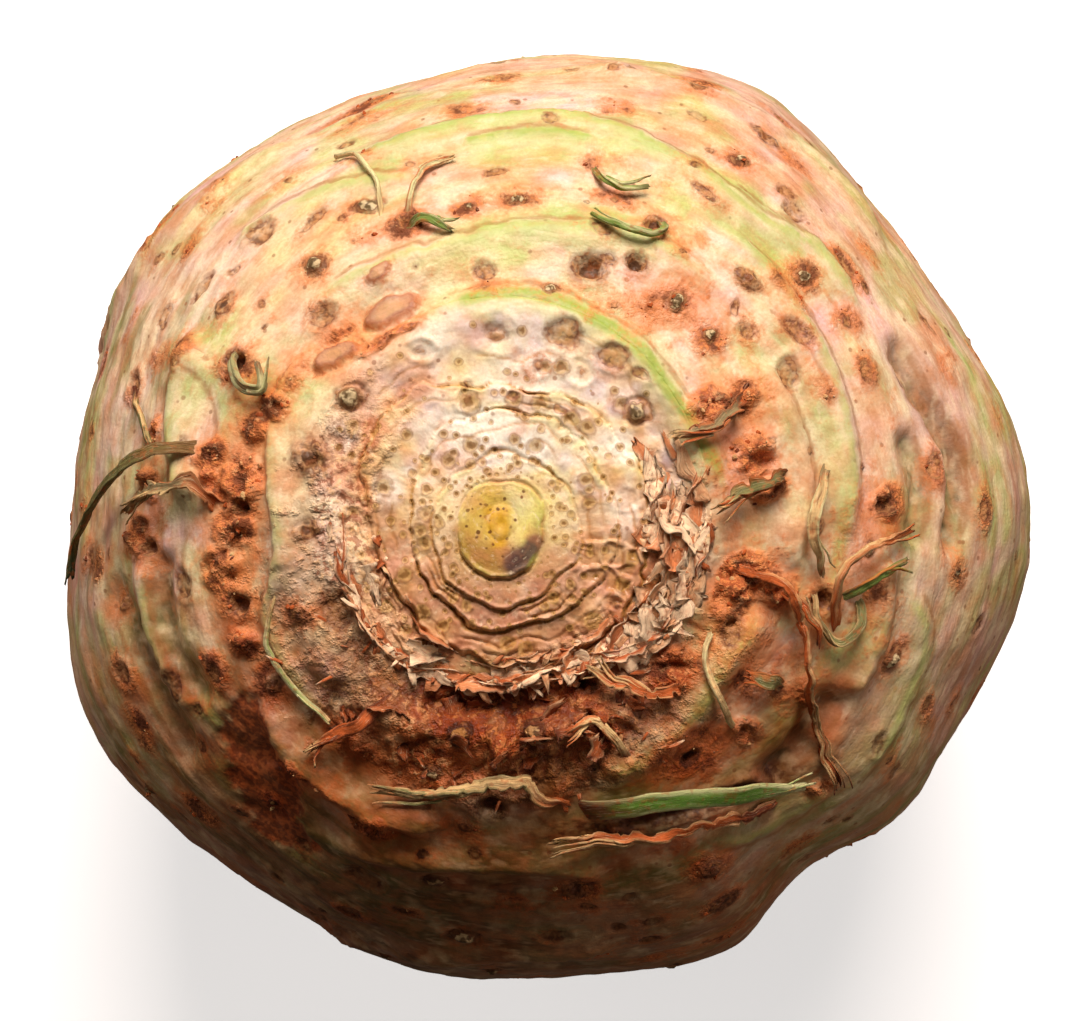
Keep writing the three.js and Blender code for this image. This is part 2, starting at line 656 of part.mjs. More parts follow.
function solidOf(geometry) {
  const bare = geometry.clone();
  bare.deleteAttribute("normal");
  bare.deleteAttribute("uv");
  const merged = mergeVertices(bare, 1e-3);
  return new wasm.Manifold(
    new wasm.Mesh({
      numProp: 3,
      vertProperties: new Float32Array(merged.attributes.position.array),
      triVerts: new Uint32Array(merged.index.array),
    }),
  );
}

const trimmings = new THREE.BoxGeometry(200, 200, 40).translate(0, 0, -20);
const raised = [
  ...STRIPS.map(stripGeometry),
  ...PLUGS.map(plugGeometry),
  ...tagGeometries(),
  ...stubGeometries(),
];
let solid = solidOf(skinGeometry());
for (const pit of PITS) solid = solid.subtract(solidOf(pitGeometry(pit)));
for (const piece of raised) solid = solid.add(solidOf(piece));
const root = solid.subtract(solidOf(trimmings)).getMesh();

const geometry = new THREE.BufferGeometry();
geometry.setAttribute("position", new THREE.BufferAttribute(root.vertProperties, 3));
geometry.setIndex(new THREE.BufferAttribute(root.triVerts, 1));
geometry.computeVertexNormals();

const celeriac = new THREE.Mesh(
  geometry,
  new THREE.MeshStandardMaterial({ color: SKIN_COLOUR, roughness: 0.62, metalness: 0 }),
);
celeriac.name = "celeriac_root";

const part = new THREE.Group();
part.add(celeriac);

export default part;
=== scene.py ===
# %% [markdown]
# # A celeriac root, looked at from its crown
#
# The swollen root of celery, trimmed for sale. It grew as one piece, so its looks come from one surface, a plump
# body with lobes, and from what growing and trimming left on it: leaf bases, ridges, root scars and torn strips.
# Each is first a formula and then a mesh. The packed solid is loaded first, as it fixes size and place. Its box is
# kept.

# %% Load the frame
import math

import bpy
import numpy as np
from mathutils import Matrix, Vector


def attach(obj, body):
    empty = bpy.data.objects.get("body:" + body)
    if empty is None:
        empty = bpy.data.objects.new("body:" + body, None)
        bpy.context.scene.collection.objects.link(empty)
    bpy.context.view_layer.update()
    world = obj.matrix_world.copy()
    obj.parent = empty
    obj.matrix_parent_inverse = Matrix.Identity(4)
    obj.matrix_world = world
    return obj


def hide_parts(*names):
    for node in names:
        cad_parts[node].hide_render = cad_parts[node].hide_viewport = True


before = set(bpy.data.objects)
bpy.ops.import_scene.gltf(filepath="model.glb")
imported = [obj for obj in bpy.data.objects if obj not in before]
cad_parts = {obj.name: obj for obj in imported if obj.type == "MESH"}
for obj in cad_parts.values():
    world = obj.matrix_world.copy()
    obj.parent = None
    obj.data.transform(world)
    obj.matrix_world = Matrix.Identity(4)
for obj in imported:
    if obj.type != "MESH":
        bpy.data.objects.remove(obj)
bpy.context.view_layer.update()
NODE = "celeriac_root"

# %% [markdown]
# ## The camera
#
# The camera hangs over the crown and looks straight down, a little to one side of the growing point, so that the
# near crown looks slightly larger than the widest part of the root. The lens is worked out from the width of the
# view at that widest level.

# %% Camera
MM = 0.001
WIDEST_HEIGHT = 50.0
CAMERA_AT = (4.5, 1.7, 530.0)
SENSOR_WIDTH, VIEW_WIDTH = 36.0, 140.1  # VIEW_WIDTH is what the frame's width covers at the widest level


def add_object(name, data):
    """A new object in the scene."""
    thing = bpy.data.objects.new(name, data)
    bpy.context.scene.collection.objects.link(thing)
    return thing


camera_data = bpy.data.cameras.new("camera")
camera_data.sensor_width = SENSOR_WIDTH
camera_data.lens = SENSOR_WIDTH * (CAMERA_AT[2] - WIDEST_HEIGHT) / VIEW_WIDTH
camera = add_object("camera", camera_data)
camera.location = [v * MM for v in CAMERA_AT]
bpy.context.scene.camera = camera
print("lens:", round(camera_data.lens, 1), "mm")

# %% [markdown]
# ## Curves and noise
#
# Organic shapes are sums of soft bumps, steps and noise. The noise has random numbers on the corners of a cubic
# lattice, and each point blends its eight corners, so near points get near values.

# %% Curves and noise
def bell(x):
    """A bump: 1 at x = 0, falling to a third at x = 1 and to nothing at x = 2."""
    return np.exp(-np.square(x))


def smooth(start, end, x):
    """A soft step: 0 before start, 1 after end, and a cubic in between. start may be above end."""
    t = np.clip((x - start) / (end - start), 0, 1)
    return t * t * (3 - 2 * t)


def unit(v):
    """Vectors of length 1."""
    return v / np.linalg.norm(v, axis=-1, keepdims=True)


def turn(a, b):
    """The signed angle from b to a, in degrees from -180 to 180."""
    return (a - b + 180) % 360 - 180


def ring_value(values, bearing):
    """A closed Catmull-Rom curve through values at equal steps of bearing."""
    values = np.asarray(values, float)
    at = (np.asarray(bearing) % 360) / 360 * len(values)
    i = np.floor(at).astype(int)
    t = at - i
    a, b, c, d = (values[(i + k) % len(values)] for k in (-1, 0, 1, 2))
    return b + 0.5 * t * (c - a + t * (2 * a - 5 * b + 4 * c - d + t * (3 * (b - c) + d - a)))


def lattice(i, j, k, seed):
    """A fixed random number from -1 to 1 for each corner of the lattice: its integers are mixed and wrapped."""
    h = (i * 374761393 + j * 668265263 + k * 2147483647 + seed * 974634777) & 0xFFFFFFFF
    h = ((h ^ (h >> 13)) * 1274126177) & 0xFFFFFFFF
    return ((h ^ (h >> 16)) & 0xFFFF) / 32767.5 - 1


def noise(points, size, seed=0, octaves=1):
    """Blends the eight lattice corners round each point; each octave adds one of half the size and height."""
    total = np.zeros(len(points))
    for octave in range(octaves):
        q = points / (size / 2**octave) + 17.3 * octave
        cell = np.floor(q).astype(np.int64)
        f = q - cell
        f = f * f * (3 - 2 * f)
        value = 0
        for corner in range(8):
            on = [(corner >> axis) & 1 for axis in range(3)]
            weight = np.prod([f[:, n] if on[n] else 1 - f[:, n] for n in range(3)], axis=0)
            value = value + weight * lattice(*(cell[:, n] + on[n] for n in range(3)), seed + octave)
        total += value / 2**octave
    return total


print("noise of three points:", np.round(noise(np.eye(3) * 7.0, 5.0), 2))

# %% [markdown]
# ## The plain body
#
# The root's section is a superellipse, a little squarer than a circle. Its outline bulges to one side of the
# growing point and has lobes and one notch, which fade towards the top and the bottom, and the crown is pressed
# flat. These are the same numbers as the solid's, so the two surfaces agree.

# %% Plain body
WIDEST_RADIUS, SHOULDER_HEIGHT, UNDERSIDE_DEPTH, PLUMPNESS = 60.0, 53.0, 52.0, 2.2
CROWN_HEIGHT, CROWN_DOME, CROWN_EDGE, CROWN_INNER = 101.5, 1.0, 29.0, 23.0
LEAN_TOWARD, LEAN = 8.0, 5.5
LOBES = [  # bearing, half-width in degrees, rise in mm
    (0, 15, 2.4), (33, 15, -1.9), (61, 10, 1.6), (94, 18, -1.6), (141, 17, 2.2),
    (206, 20, 4.2), (278, 15, -1.3), (297, 8, 0.8), (312, 9, -4.4), (337, 12, -0.9),
]


def outline(bearing, share):
    """A circle, plus a cosine that leans it, plus a bell for each lobe. share fades the lobes."""
    lobes = sum(rise * bell(turn(bearing, at) / spread) for at, spread, rise in LOBES)
    return WIDEST_RADIUS + LEAN * np.cos(np.radians(bearing - LEAN_TOWARD)) + lobes * share


def plain_radius(polar, bearing):
    """The outline times a power of the polar angle's sine, which makes the section a superellipse."""
    s = np.sin(np.radians(polar))
    return outline(bearing, s * s) * s ** (2 / PLUMPNESS)


def plain_points(polar, bearing):
    """Radius and height are powers of the polar angle's sine and cosine; near the axis the top is flattened."""
    polar, bearing = np.broadcast_arrays(np.asarray(polar, float), np.asarray(bearing, float))
    radius = plain_radius(polar, bearing)
    c = np.cos(np.radians(polar))
    depth = np.where(c > 0, SHOULDER_HEIGHT, -UNDERSIDE_DEPTH)
    z = WIDEST_HEIGHT + depth * np.abs(c) ** (2 / PLUMPNESS)
    flat = CROWN_HEIGHT - CROWN_DOME * (radius / CROWN_EDGE) ** 2
    z = z + (flat - z) * smooth(CROWN_EDGE, CROWN_INNER, radius) * (polar < 90)
    angle = np.radians(bearing)
    return np.stack([radius * np.cos(angle), radius * np.sin(angle), z], axis=-1)


def plain_normals(polar, bearing):
    """The cross product of a short step down the body and a short step round it."""
    p = np.clip(polar, 2, 178)
    down = plain_points(p + 0.5, bearing) - plain_points(p - 0.5, bearing)
    round_ = plain_points(p, bearing + 0.5) - plain_points(p, bearing - 0.5)
    return unit(np.cross(down, round_))


def polar_at(radius, bearing):
    """The polar angle on the top half with this radius in plan, found by halving."""
    low = np.zeros(np.broadcast(radius, bearing).shape)
    high = low + 89.9
    for _ in range(26):
        middle = (low + high) / 2
        inside = plain_radius(middle, bearing) < radius
        low, high = np.where(inside, middle, low), np.where(inside, high, middle)
    return low


def above(plan):
    """Points, normals, polar angles and bearings of the plain body over plan positions."""
    plan = np.atleast_2d(np.asarray(plan, float))
    bearing = np.degrees(np.arctan2(plan[:, 1], plan[:, 0]))
    polar = polar_at(np.hypot(plan[:, 0], plan[:, 1]), bearing)
    return plain_points(polar, bearing), plain_normals(polar, bearing), polar, bearing


print("height over the growing point:", plain_points(0.0, 0.0)[2], "mm")

# %% [markdown]
# ## The leaf bases of the crown
#
# Each leaf of celery starts as a sheath round the younger ones, so the cut crown shows rings like an onion's.
# Between edges the cut flesh is a low cushion, and along an edge there is a crevice, which is deepest on the side
# where the crown was torn and stands clear.

# %% Crown rings
RINGS = [  # radii at every 30 degrees from +X, level of the ring inside it in mm, depth of its crevice
    ([1.9, 2.2, 2.6, 2.9, 2.3, 1.9, 1.8, 1.7, 1.9, 2.0, 1.9, 1.8], 0.1, 0.03),
    ([5.1, 5.8, 5.6, 5.2, 4.9, 4.8, 4.8, 5.3, 5.7, 6.1, 6.1, 5.6], 0.1, 0.25),
    ([9.2, 9.0, 8.6, 8.3, 8.1, 7.9, 7.8, 8.2, 8.9, 9.6, 9.8, 9.4], 0.0, 0.4),
    ([13.4, 13.2, 13.4, 13.3, 12.8, 11.6, 10.6, 11.2, 11.9, 11.9, 12.2, 13.0], -0.1, 0.8),
    ([17.0, 17.4, 17.0, 15.8, 18.0, 18.0, 15.2, 14.6, 15.2, 16.2, 17.0, 18.0], -0.4, 1.0),
    ([24.5, 25.0, 26.2, 26.7, 26.0, 24.0, 19.6, 19.6, 19.8, 18.7, 19.5, 23.5], -0.9, 0.7),
]
TORN_SIDE, TORN_SPREAD = 268.0, 62.0  # bearing where the crown stands clear, and half its width
DROP, DROP_WIDTH = 3.2, 7.0


def torn(bearing):
    """1 on the side where the crown was torn, 0 on the other."""
    return bell(turn(bearing, TORN_SIDE) / TORN_SPREAD)


def ring_edge(n, bearing, points=None):
    """Edge n's radius, wavering by a few tenths of a millimetre where points are given, more further out."""
    edge = ring_value(RINGS[n][0], bearing)
    if points is not None:
        edge = edge + (0.5 + 0.1 * n) * noise(points, 3.2, 40 + n) + (0.16 + 0.05 * n) * noise(points, 1.1, 50 + n)
    return edge


def rim(bearing):
    """The radius of the outermost edge, where the crown ends."""
    return ring_edge(len(RINGS) - 1, bearing)


def drop_relief(radius, bearing):
    """A step down at the rim, rising again over a few millimetres."""
    r = rim(bearing)
    return -DROP * torn(bearing) * smooth(r - 1.6, r - 0.4, radius) * smooth(r + DROP_WIDTH, r + 2.5, radius)


rim_radii = rim(np.arange(360))
print("rim radius from", round(float(rim_radii.min()), 1), "to", round(float(rim_radii.max()), 1), "mm")

# %% [markdown]
# ## Ridges, folds and green lines
#
# Where an old leaf was attached, the skin keeps a low ridge that runs in an arc round the crown. Many are
# green, because light reached them. A ridge is a smooth curve through a few points in plan, laid on the
# body, and its height falls off as a bell on each side, more steeply on the outer side.

# %% Ridge lines
RIDGES = [  # points in plan, rise in mm, inner and outer half-width, how green it is
    ([(-9, 24.6), (0, 27), (7, 26), (15, 21.5), (20.5, 14.5), (24.5, 8), (27, 1)], 0.6, 2.4, 1.4, 1.0),
    ([(-24, 25), (-16, 29.5), (-5, 33), (6, 35), (18, 33), (26, 27)], 1.1, 3.0, 1.2, 0.75),
    ([(-24, 40), (-12, 46), (5, 49), (20, 44.5), (30, 37), (38, 32), (45, 22)], 1.3, 3.6, 1.5, 0.8),
    ([(25, 36), (33, 28), (38, 20), (41, 8), (40, -3)], 1.4, 3.2, 1.4, 0.7),
    ([(30, 20), (34.5, 11), (35.5, 3), (33.5, -6)], 1.3, 2.6, 1.2, 0.1),
    ([(47, 24), (50.5, 17), (55.5, 9), (56, 2), (54, -5)], -2.6, 2.4, 1.5, 0.35),
    ([(48, 12), (50.5, 5), (49.5, -3)], -1.6, 2.0, 1.6, 0.5),
    ([(-22, 22), (-26, 14), (-26.5, 5), (-25.5, -3), (-27, -11), (-24, -18), (-19, -24)], 1.1, 1.8, 1.0, 0.5),
    ([(-40.5, -2), (-41, -10), (-39, -17), (-34.5, -22)], -1.9, 2.4, 1.4, 0.2),
    ([(-48.5, -6), (-45, -13), (-41, -22), (-36, -30)], -1.5, 2.6, 2.6, 0.4),
    ([(-43.5, -4), (-42, -14), (-38, -23)], 1.0, 2.4, 1.6, 0.5),
    ([(-29, -20), (-24, -27), (-17, -32.5), (-6, -36)], 2.4, 2.6, 1.7, 0.4),
    ([(-22, -37.5), (-10, -40), (5, -40.5), (14, -42)], 1.5, 2.4, 1.3, 0.3),
    ([(9, -29.5), (16, -27.5), (22, -22.5), (26, -16), (31, -9)], 1.6, 2.4, 2.2, 0.8),
    ([(46, -3), (45, -12), (41, -21)], 1.4, 2.6, 1.5, 0.4),
    ([(40, -19), (36, -26), (31, -31)], -2.2, 2.4, 2.4, 0.3),
    ([(-54, 20), (-45, 33), (-33, 43), (-22, 49)], 1.3, 3.2, 1.6, 0.35),
    ([(-37, 24), (-39, 12), (-37, 2)], 1.6, 3.0, 1.4, 0.6),
    ([(-24, -50), (-4, -53), (16, -51)], 1.5, 2.6, 1.6, 0.3),
    ([(8, 56.5), (24, 53), (38, 46), (48, 34)], 1.2, 2.6, 1.6, 0.35),
    ([(-33, 33), (-26, 38), (-18, 40.5), (-8, 41.5)], 0.5, 1.8, 1.0, 0.7),
    ([(-41, 22), (-34, 17), (-32, 8)], 0.4, 2.2, 1.2, 0.6),
    ([(-6, 45.3), (4, 46.8), (12, 45.4)], 0.5, 1.2, 0.8, 0.9),
    ([(26, 42), (32, 37.5), (38.5, 33), (43, 26)], 0.4, 1.2, 0.7, 0.6),
    ([(30, 26), (36, 19), (38, 12)], 0.4, 1.3, 0.8, 0.3),
    ([(48, -7), (51, -14), (47, -24), (40, -33)], 0.7, 2.4, 1.6, 0.7),
    ([(25, -38), (33, -36), (40, -31)], 0.6, 2.0, 1.4, 0.7),
]


def smooth_path(points, count):
    """A Catmull-Rom curve through the points, given as count points at even lengths along it."""
    p = np.asarray(points, float)
    p = np.vstack([2 * p[0] - p[1], p, 2 * p[-1] - p[-2]])
    t = np.linspace(0, len(p) - 3 - 1e-9, 12 * len(p))
    i, f = np.floor(t).astype(int), (t % 1)[:, None]
    a, b, c, d = (p[i + k] for k in range(4))
    curve = b + 0.5 * f * (c - a + f * (2 * a - 5 * b + 4 * c - d + f * (3 * (b - c) + d - a)))
    length = np.concatenate([[0], np.cumsum(np.linalg.norm(np.diff(curve, axis=0), axis=1))])
    even = np.linspace(0, length[-1], count)
    return np.stack([np.interp(even, length, curve[:, n]) for n in range(curve.shape[1])], axis=1)


def near_line(points, line, reach):
    """For the points within reach of a line: which they are, how far off, where along it, and inside or not."""
    low, high = line.min(axis=0) - reach, line.max(axis=0) + reach
    near = np.flatnonzero(np.all((points > low) & (points < high), axis=1))
    p = points[near]
    best, index = np.full(len(p), np.inf), np.zeros(len(p), int)
    for n, q in enumerate(line):
        d = np.linalg.norm(p - q, axis=1)
        closer = d < best
        best[closer], index[closer] = d[closer], n
    inside = np.hypot(p[:, 0], p[:, 1]) < np.hypot(line[index, 0], line[index, 1])
    return near, best, index / (len(line) - 1), inside


STEPS_PER_POINT = 14
RIDGE_LINES = [(smooth_path(above(path)[0], STEPS_PER_POINT * len(path)), *rest) for path, *rest in RIDGES]
print(len(RIDGE_LINES), "ridges and folds")

# %% [markdown]
# ## Root scars
#
# Side roots once grew through the skin. Each left a scar of a few millimetres: a flat brown disc, an open
# pit, a woody plug, a raised plate of cork, or only rust-coloured skin where it has dried. All are ellipses
# in the plane of the skin, grouped by kind. A ringed disc has rings in it like a tiny trunk, and a faint
# one has nearly healed.

# %% Scar list
SCARS = {  # by kind: x, y in plan, length and width in mm, how rusty it is, and its turn in degrees if any
    "disc": [
        (-.5, 55, 3, 2, .7, 30), (1.5, 51.5, 1.6, 1.4, .3), (-42.5, 32.8, 2, 1.6, .4),
        (-28.8, 35, 4.2, 3.2, .2, 40), (-22.3, 36.3, 4.5, 1.6, .6, 50), (-18.7, 36.7, 1.6, 1, .5, 50),
        (-36.3, 28.9, 4.6, 2, .2, 50), (-32.3, 30.7, 1.9, 1.3, .5, 30), (-41.2, 25.3, 3.8, 1.8, .2, 75),
        (-28.5, 26.4, 1.2, 1, .4), (-28, 23.5, 1, .9, .2), (-38.3, 21, 2.2, 1.8, .9), (-38, 19, 1.5, 1.2, .4),
        (-45, 17, 3.6, 2.4, .6, 80), (-20.8, 24.4, 3.6, 3, .8, 30), (-1.8, 29.7, 2.9, 2.4, .4),
        (-.7, 42, 2.9, 1.7, .3, 10), (-10.8, 42.9, 1.4, 1, .6), (-37, 9.6, 1, 1.8, .1), (7.5, 22.3, 4.2, 4, .1),
        (13.2, 19.7, 4.4, 3, .3, -20), (16.4, 17.6, 2.6, 1, .3, -35), (-19, -10, 3.6, 5.4, 0, 20),
        (-3.8, 16.5, 1.2, 1, 0), (1.6, 15.1, 1.5, 1, .1), (7, 13.4, 1.6, 1, .1, -20),
        (26.8, -12, 2.6, 4.2, .5, -15), (8.3, 49.4, 3.8, 1.6, .5, -8), (17, 55.2, 3.6, 1.8, .1, -5),
        (13.6, 55.2, 1.8, 1.6, .4), (24, 53, 2.4, 2, .6), (23.8, 49.8, 3, 1.7, .2, -35),
        (25.2, 45.5, 1.4, 1.1, .4), (34.1, 39.9, 2.6, 2.4, .1, -30), (35.2, 37.7, 3.4, 2.8, .2, -40),
        (24, 39.4, 4.2, 1.5, .6, -50), (15.3, 40.6, 1.3, 1, .2), (10.1, 38.5, 1, .8, .1),
        (12.8, 30.9, 2, 2, .3), (21.3, 31.9, 1.2, .9, .6), (13.5, 25.7, 1.2, 1, .6),
        (29, 23, 2.4, 1.8, .7, -45), (27.6, 25.6, 1.2, 2.4, 0), (34.7, 22.5, 4.4, 2.6, .5, -38),
        (33.7, 17.7, 2.8, 4.2, .2), (41.5, 31.2, 4.4, 2, .9, -52), (43.4, 18.2, 1.8, 3.2, .8, 10),
        (51.8, 24.6, 4.4, 1.2, .2, -52), (48.4, 17.6, 2.4, 1.4, .2, -50), (59, 1.8, 2, 3, .8),
        (42.6, 6.8, 1.1, 1, .1), (36, 8.7, 1.1, 1, .2), (31.8, 9.8, 1.3, 1, .2), (52.4, 7.2, 2.2, 4, .7),
        (-46.6, -18.3, 3, 3.4, .9, 70), (-39.5, -19.5, 2.6, 4.4, .3, 25), (-34, -17.6, 2.4, 2.8, .8),
        (-16.4, -42.4, 5.6, 3.2, .3, -25), (-18.5, -47.4, 3.2, 2.4, .6, -20), (-27.5, -43.8, 2.4, 2, .3),
        (-3, -38.6, 2, 1.4, .4), (-9, -38.6, 1.8, 1.3, .4), (-38, -7, 2.8, 4, .4, 20),
        (-36.5, -22.3, 2, 1.6, .6), (15.5, -45, 2, 1.8, .3), (14, -49, 2.4, 1.6, .1, 20), (52, -22, 2, 2.4, .8),
        (45, -26, 2, 3, .2, -10), (58.5, -12.5, 3, 1.8, 0, 50), (6.5, -50, 4.0, 2.2, .3),
        (18, -50.8, 3.4, 2.2, .6, 15), (-12, -47, 2.6, 1.8, .7, -15), (-23, -49, 3, 2, .6, -25),
    ],
    "ringed": [
        (-.5, 22.3, 4.4, 4, .1), (4.5, 18.5, 2, 2.4, .5), (18.8, -9, 2.6, 2.4, .2), (13.6, -9.2, 2.4, 2.4, .1),
    ],
    "faint": [
        (-9.8, 30, 2.2, 1.8, .2), (9.3, 17.8, 2.8, 2.8, 0), (-9.2, 20.4, 3.2, 2.4, .1),
        (-3.8, 14.7, 2.4, 2.4, 0),
    ],
    "plate": [
        (-19.3, 19.8, 5.6, 2.8, .3, 15), (-12.7, 25.1, 6.4, 3.6, .4, 25), (-14, 29.2, 3, 1.5, .3, 40),
    ],
    "plug": [
        (-22, 30.6, 2.6, 2.4, .8, 20), (6, 27.5, 1.8, 1.3, .6), (1.8, 38.6, 2.4, 1.5, 1, 20),
        (-3.7, 37.5, 1.4, 1.2, .9), (-17.5, 14.9, 3.2, 2.4, .2, 20), (16, 13.2, 2.8, 2.4, .1),
        (21.3, -1, 2.4, 2.2, 0), (28.8, 44.3, 2, 1.8, 1), (20.5, 26.2, 2.2, 1.8, 1, 40),
        (24.5, 22.3, 2, 1.6, 1, 20), (35.8, 29.4, 2.2, 1.8, 1), (-8.3, -29.3, 2, 1.8, 1),
        (-8, -42.6, 2.6, 1.5, .1), (46.7, -16, 2, 2.8, .9, -30), (3.8, -24.6, 2.4, 3, .3),
        (-4.8, -24.8, 2.6, 2.4, .4), (-4.6, -50.4, 3.4, 2.4, .6, 10),
    ],
    "dark": [
        (-33.2, 26.5, 3.2, 2.2, .7, 60), (-22, 7.8, 4.6, 4, 0, -30), (-22.6, -.6, 3, 2.6, .1),
        (-23.6, -10.7, 2.6, 2.4, .7), (32.2, 47.6, 4.4, 1.8, .4, -50), (28.8, 28.9, 3.6, 1.8, .6, -35),
        (41.2, 24.2, 1.6, 1.3, .9), (-26.6, -18.6, 2.6, 2.4, .9), (25, -41, 3.2, 2.8, .9),
        (27, -46, 4.4, 2.8, .7, 15), (9, -43.6, 3.8, 3.2, 1, 20),
    ],
    "pit": [
        (-31.3, 19.2, 3.2, 2.6, .9), (-10.9, 35.8, 2.2, 1.8, 1), (-30.3, 2.3, 2.2, 1.8, .8),
        (10.4, 30.2, 3.7, 3.3, .3), (15.9, 30.6, 2.5, 2.3, .4), (18.2, 35.6, 2.4, 1.6, .9),
        (45.3, 2.3, 2.2, 2, 1), (-30.8, -9.3, 3, 2.8, .9), (-1.2, -33.2, 3.6, 3.2, 0),
        (-42.3, -2.8, 2.6, 2, .6), (22.3, -27.2, 2.4, 1.8, 1, 40), (10, -18.5, 2.6, 2.2, .1),
        (38, -9, 3.4, 3, .8), (21.5, -33.8, 24, 2.8, .1, 7),
    ],
    "cork": [
        (-30.4, 4.6, 5.5, 7, 1), (-26.5, 14, 4, 2.4, 1, -30), (-28.8, 11.3, 3.2, 3, 1),
        (-34, 8.5, 4, 2.5, .9, 15), (-34.3, 5, 2.2, 4, .9), (-41.8, 11, 2.6, 3.6, .9, -30),
        (-42.4, 5, 3.2, 4, .9, 40), (46, 2.8, 4.2, 3.6, 1, 20), (24.5, 13.8, 5, 4, 1, 20),
        (29.5, 8, 5, 5, 1, -20), (28, 14.8, 4, 3, 1, 30), (31, 4.2, 4, 2.4, .9, 20), (-30.2, -14, 3, 2.4, 1),
        (-24.3, -28.4, 4, 2.2, 1, -40), (-15, -35.2, 5, 3.4, 1, -10), (-44, -1.5, 5, 5, .9, 10),
        (-33, -5, 5, 5, .9), (-31.5, -.5, 5, 4, 1), (29, -6, 6, 5, 1), (27, -9, 4, 6, .8, -10),
        (20.5, -17, 5, 5, 1, -20), (32.5, -8, 4, 3, 1, -20), (29, -24.5, 3, 4, .8, 50),
        (11.5, -24, 5, 4, .9, -20), (38.5, -31.5, 3, 2.5, .8), (36.5, -20, 2, 4, .9, 10),
        (-16, -25.5, 3, 2, .8), (.5, -26, 3, 3, .6), (-14.9, 20.9, 4.4, 1.2, .9, 30),
        (-11.2, 23, 4.6, 1.3, .9, 30), (-18.6, 22.6, 3, 1.4, .9, 20),
    ],
    "rust": [
        (-4.5, 50.2, 3.5, 2.6, .8), (-17.5, 49.8, 4.4, 2, .9, 40), (-28, 47.5, 3, 2.5, .6, 30),
        (-34.8, 40.3, 4, 3, .6, 45), (-16, 34.5, 1.8, 1.4, .7), (-46, 24.5, 2.6, 1.8, .7, 75),
        (-.8, 27.9, 1.4, .8, .8), (-17.5, 43.8, 2.4, 1.2, .7, -20), (-24.5, 17.3, 2, 1.6, .8, 30),
        (-52, 3, 2.4, 3.4, .6), (13.7, 50.7, 3.4, 2.4, .7, -10), (21, 47.5, 1.8, 1.4, .4),
        (19, 40.4, 1.4, 1.2, .6), (12.4, 42.6, 3.6, 2.8, .7, -20), (22.7, 33.6, 1.6, 1.3, .7),
        (18.3, 25.4, 4.6, 2.6, 1, 30), (44.7, 33, 2.6, 1.6, .6, -60), (54.2, 19.5, 1.6, 2.2, .7),
        (47, 13, 1.2, 3, .5), (-37.2, -35.2, 4, 3, .9), (-8, -28.2, 7, 3, 1, -5), (-45, -25, 4, 3, .9, -60),
        (22, -26.6, 7, 5, .9, 20), (30.5, -18.5, 5, 3, .9, -20), (44, -9, 2, 4, .8), (61, 14, 2, 2.4, .5),
        (29.5, -50, 4, 2.2, .9, 20), (36.5, -39, 2.6, 2.2, .9), (1, -46, 2.4, 1.6, .8),
        (20.5, -38, 2.6, 1.8, .8, 10),
    ],
}
LISTED_SCARS = [
    (x, y, length, width, *(degrees or [0]), rust, kind)
    for kind, scars in SCARS.items() for x, y, length, width, rust, *degrees in scars
]
print(len(LISTED_SCARS), "scars")

# %% [markdown]
# ## Small scars
#
# Between the listed scars, and all over the underside, sit small ones where hair-thin roots grew. A rule is
# enough for them: each turns by the golden angle and goes a little further down, which spreads them evenly
# without rows, and a random shift hides the rule. None falls on a listed scar.

# %% Small scars by rule
GOLDEN_TURN = 137.5
SMALL_SCARS, LISTED_CLEARANCE, CROWN_CLEARANCE = 300, 3.2, 27
UNDERSIDE_FROM = 95  # polar angle below which the scars are larger and stand closer
SMALL_KINDS = ["disc", "disc", "disc", "dark", "plug", "rust", "rust"]


def place_scars():
    """The listed scars with their centres and normals, then small ones at golden turns, clear of the listed."""
    centres, across, _, _ = above([scar[:2] for scar in LISTED_SCARS])
    yield from ((c, n, *scar[2:]) for c, n, scar in zip(centres, across, LISTED_SCARS))
    random = np.random.default_rng(8)
    for n in range(SMALL_SCARS):
        polar = math.degrees(math.acos(0.9 - 1.8 * (n + random.random()) / SMALL_SCARS))
        bearing = n * GOLDEN_TURN + 25 * random.uniform(-1, 1)
        centre, normal = plain_points(polar, bearing), plain_normals(polar, bearing)
        low = polar > UNDERSIDE_FROM
        size = random.uniform(0.7, 1.7) + 1.8 * low * random.random() ** 1.5
        kind = str(random.choice([*SMALL_KINDS, "pit" if low else "disc"]))
        rust, turned = random.uniform(0.2, 1.0), bearing + 90 + 30 * random.uniform(-1, 1)
        free = low or np.linalg.norm(centres - centre, axis=1).min() > LISTED_CLEARANCE
        if free and math.hypot(centre[0], centre[1]) > CROWN_CLEARANCE:
            yield centre, normal, size * random.uniform(1.1, 2.0), size, turned, rust, kind


SCAR_PLACES = list(place_scars())
print(len(SCAR_PLACES), "scars with the small ones")

# %% [markdown]
# ## Mixing colours
#
# Plant skin is never one colour: its pigments lie over each other in thin, uneven films. A tone has one colour for
# each point, and every film moves it towards a colour by some amount at each point, in linear light.

# %% Colours
def srgb(red, green, blue):
    """The linear colour of a screen colour given from 0 to 255."""
    c = np.array([red, green, blue]) / 255
    return np.where(c <= 0.04045, c / 12.92, ((c + 0.055) / 1.055) ** 2.4)


def as_colour(colour):
    """A colour as it is, and a tuple taken as a screen colour."""
    return srgb(*colour) if isinstance(colour, tuple) else colour


def blend(base, colour, amount):
    """Moves an array of colours towards one colour, by an amount per point."""
    a = np.clip(amount, 0, 1)[:, None]
    return base * (1 - a) + colour * a


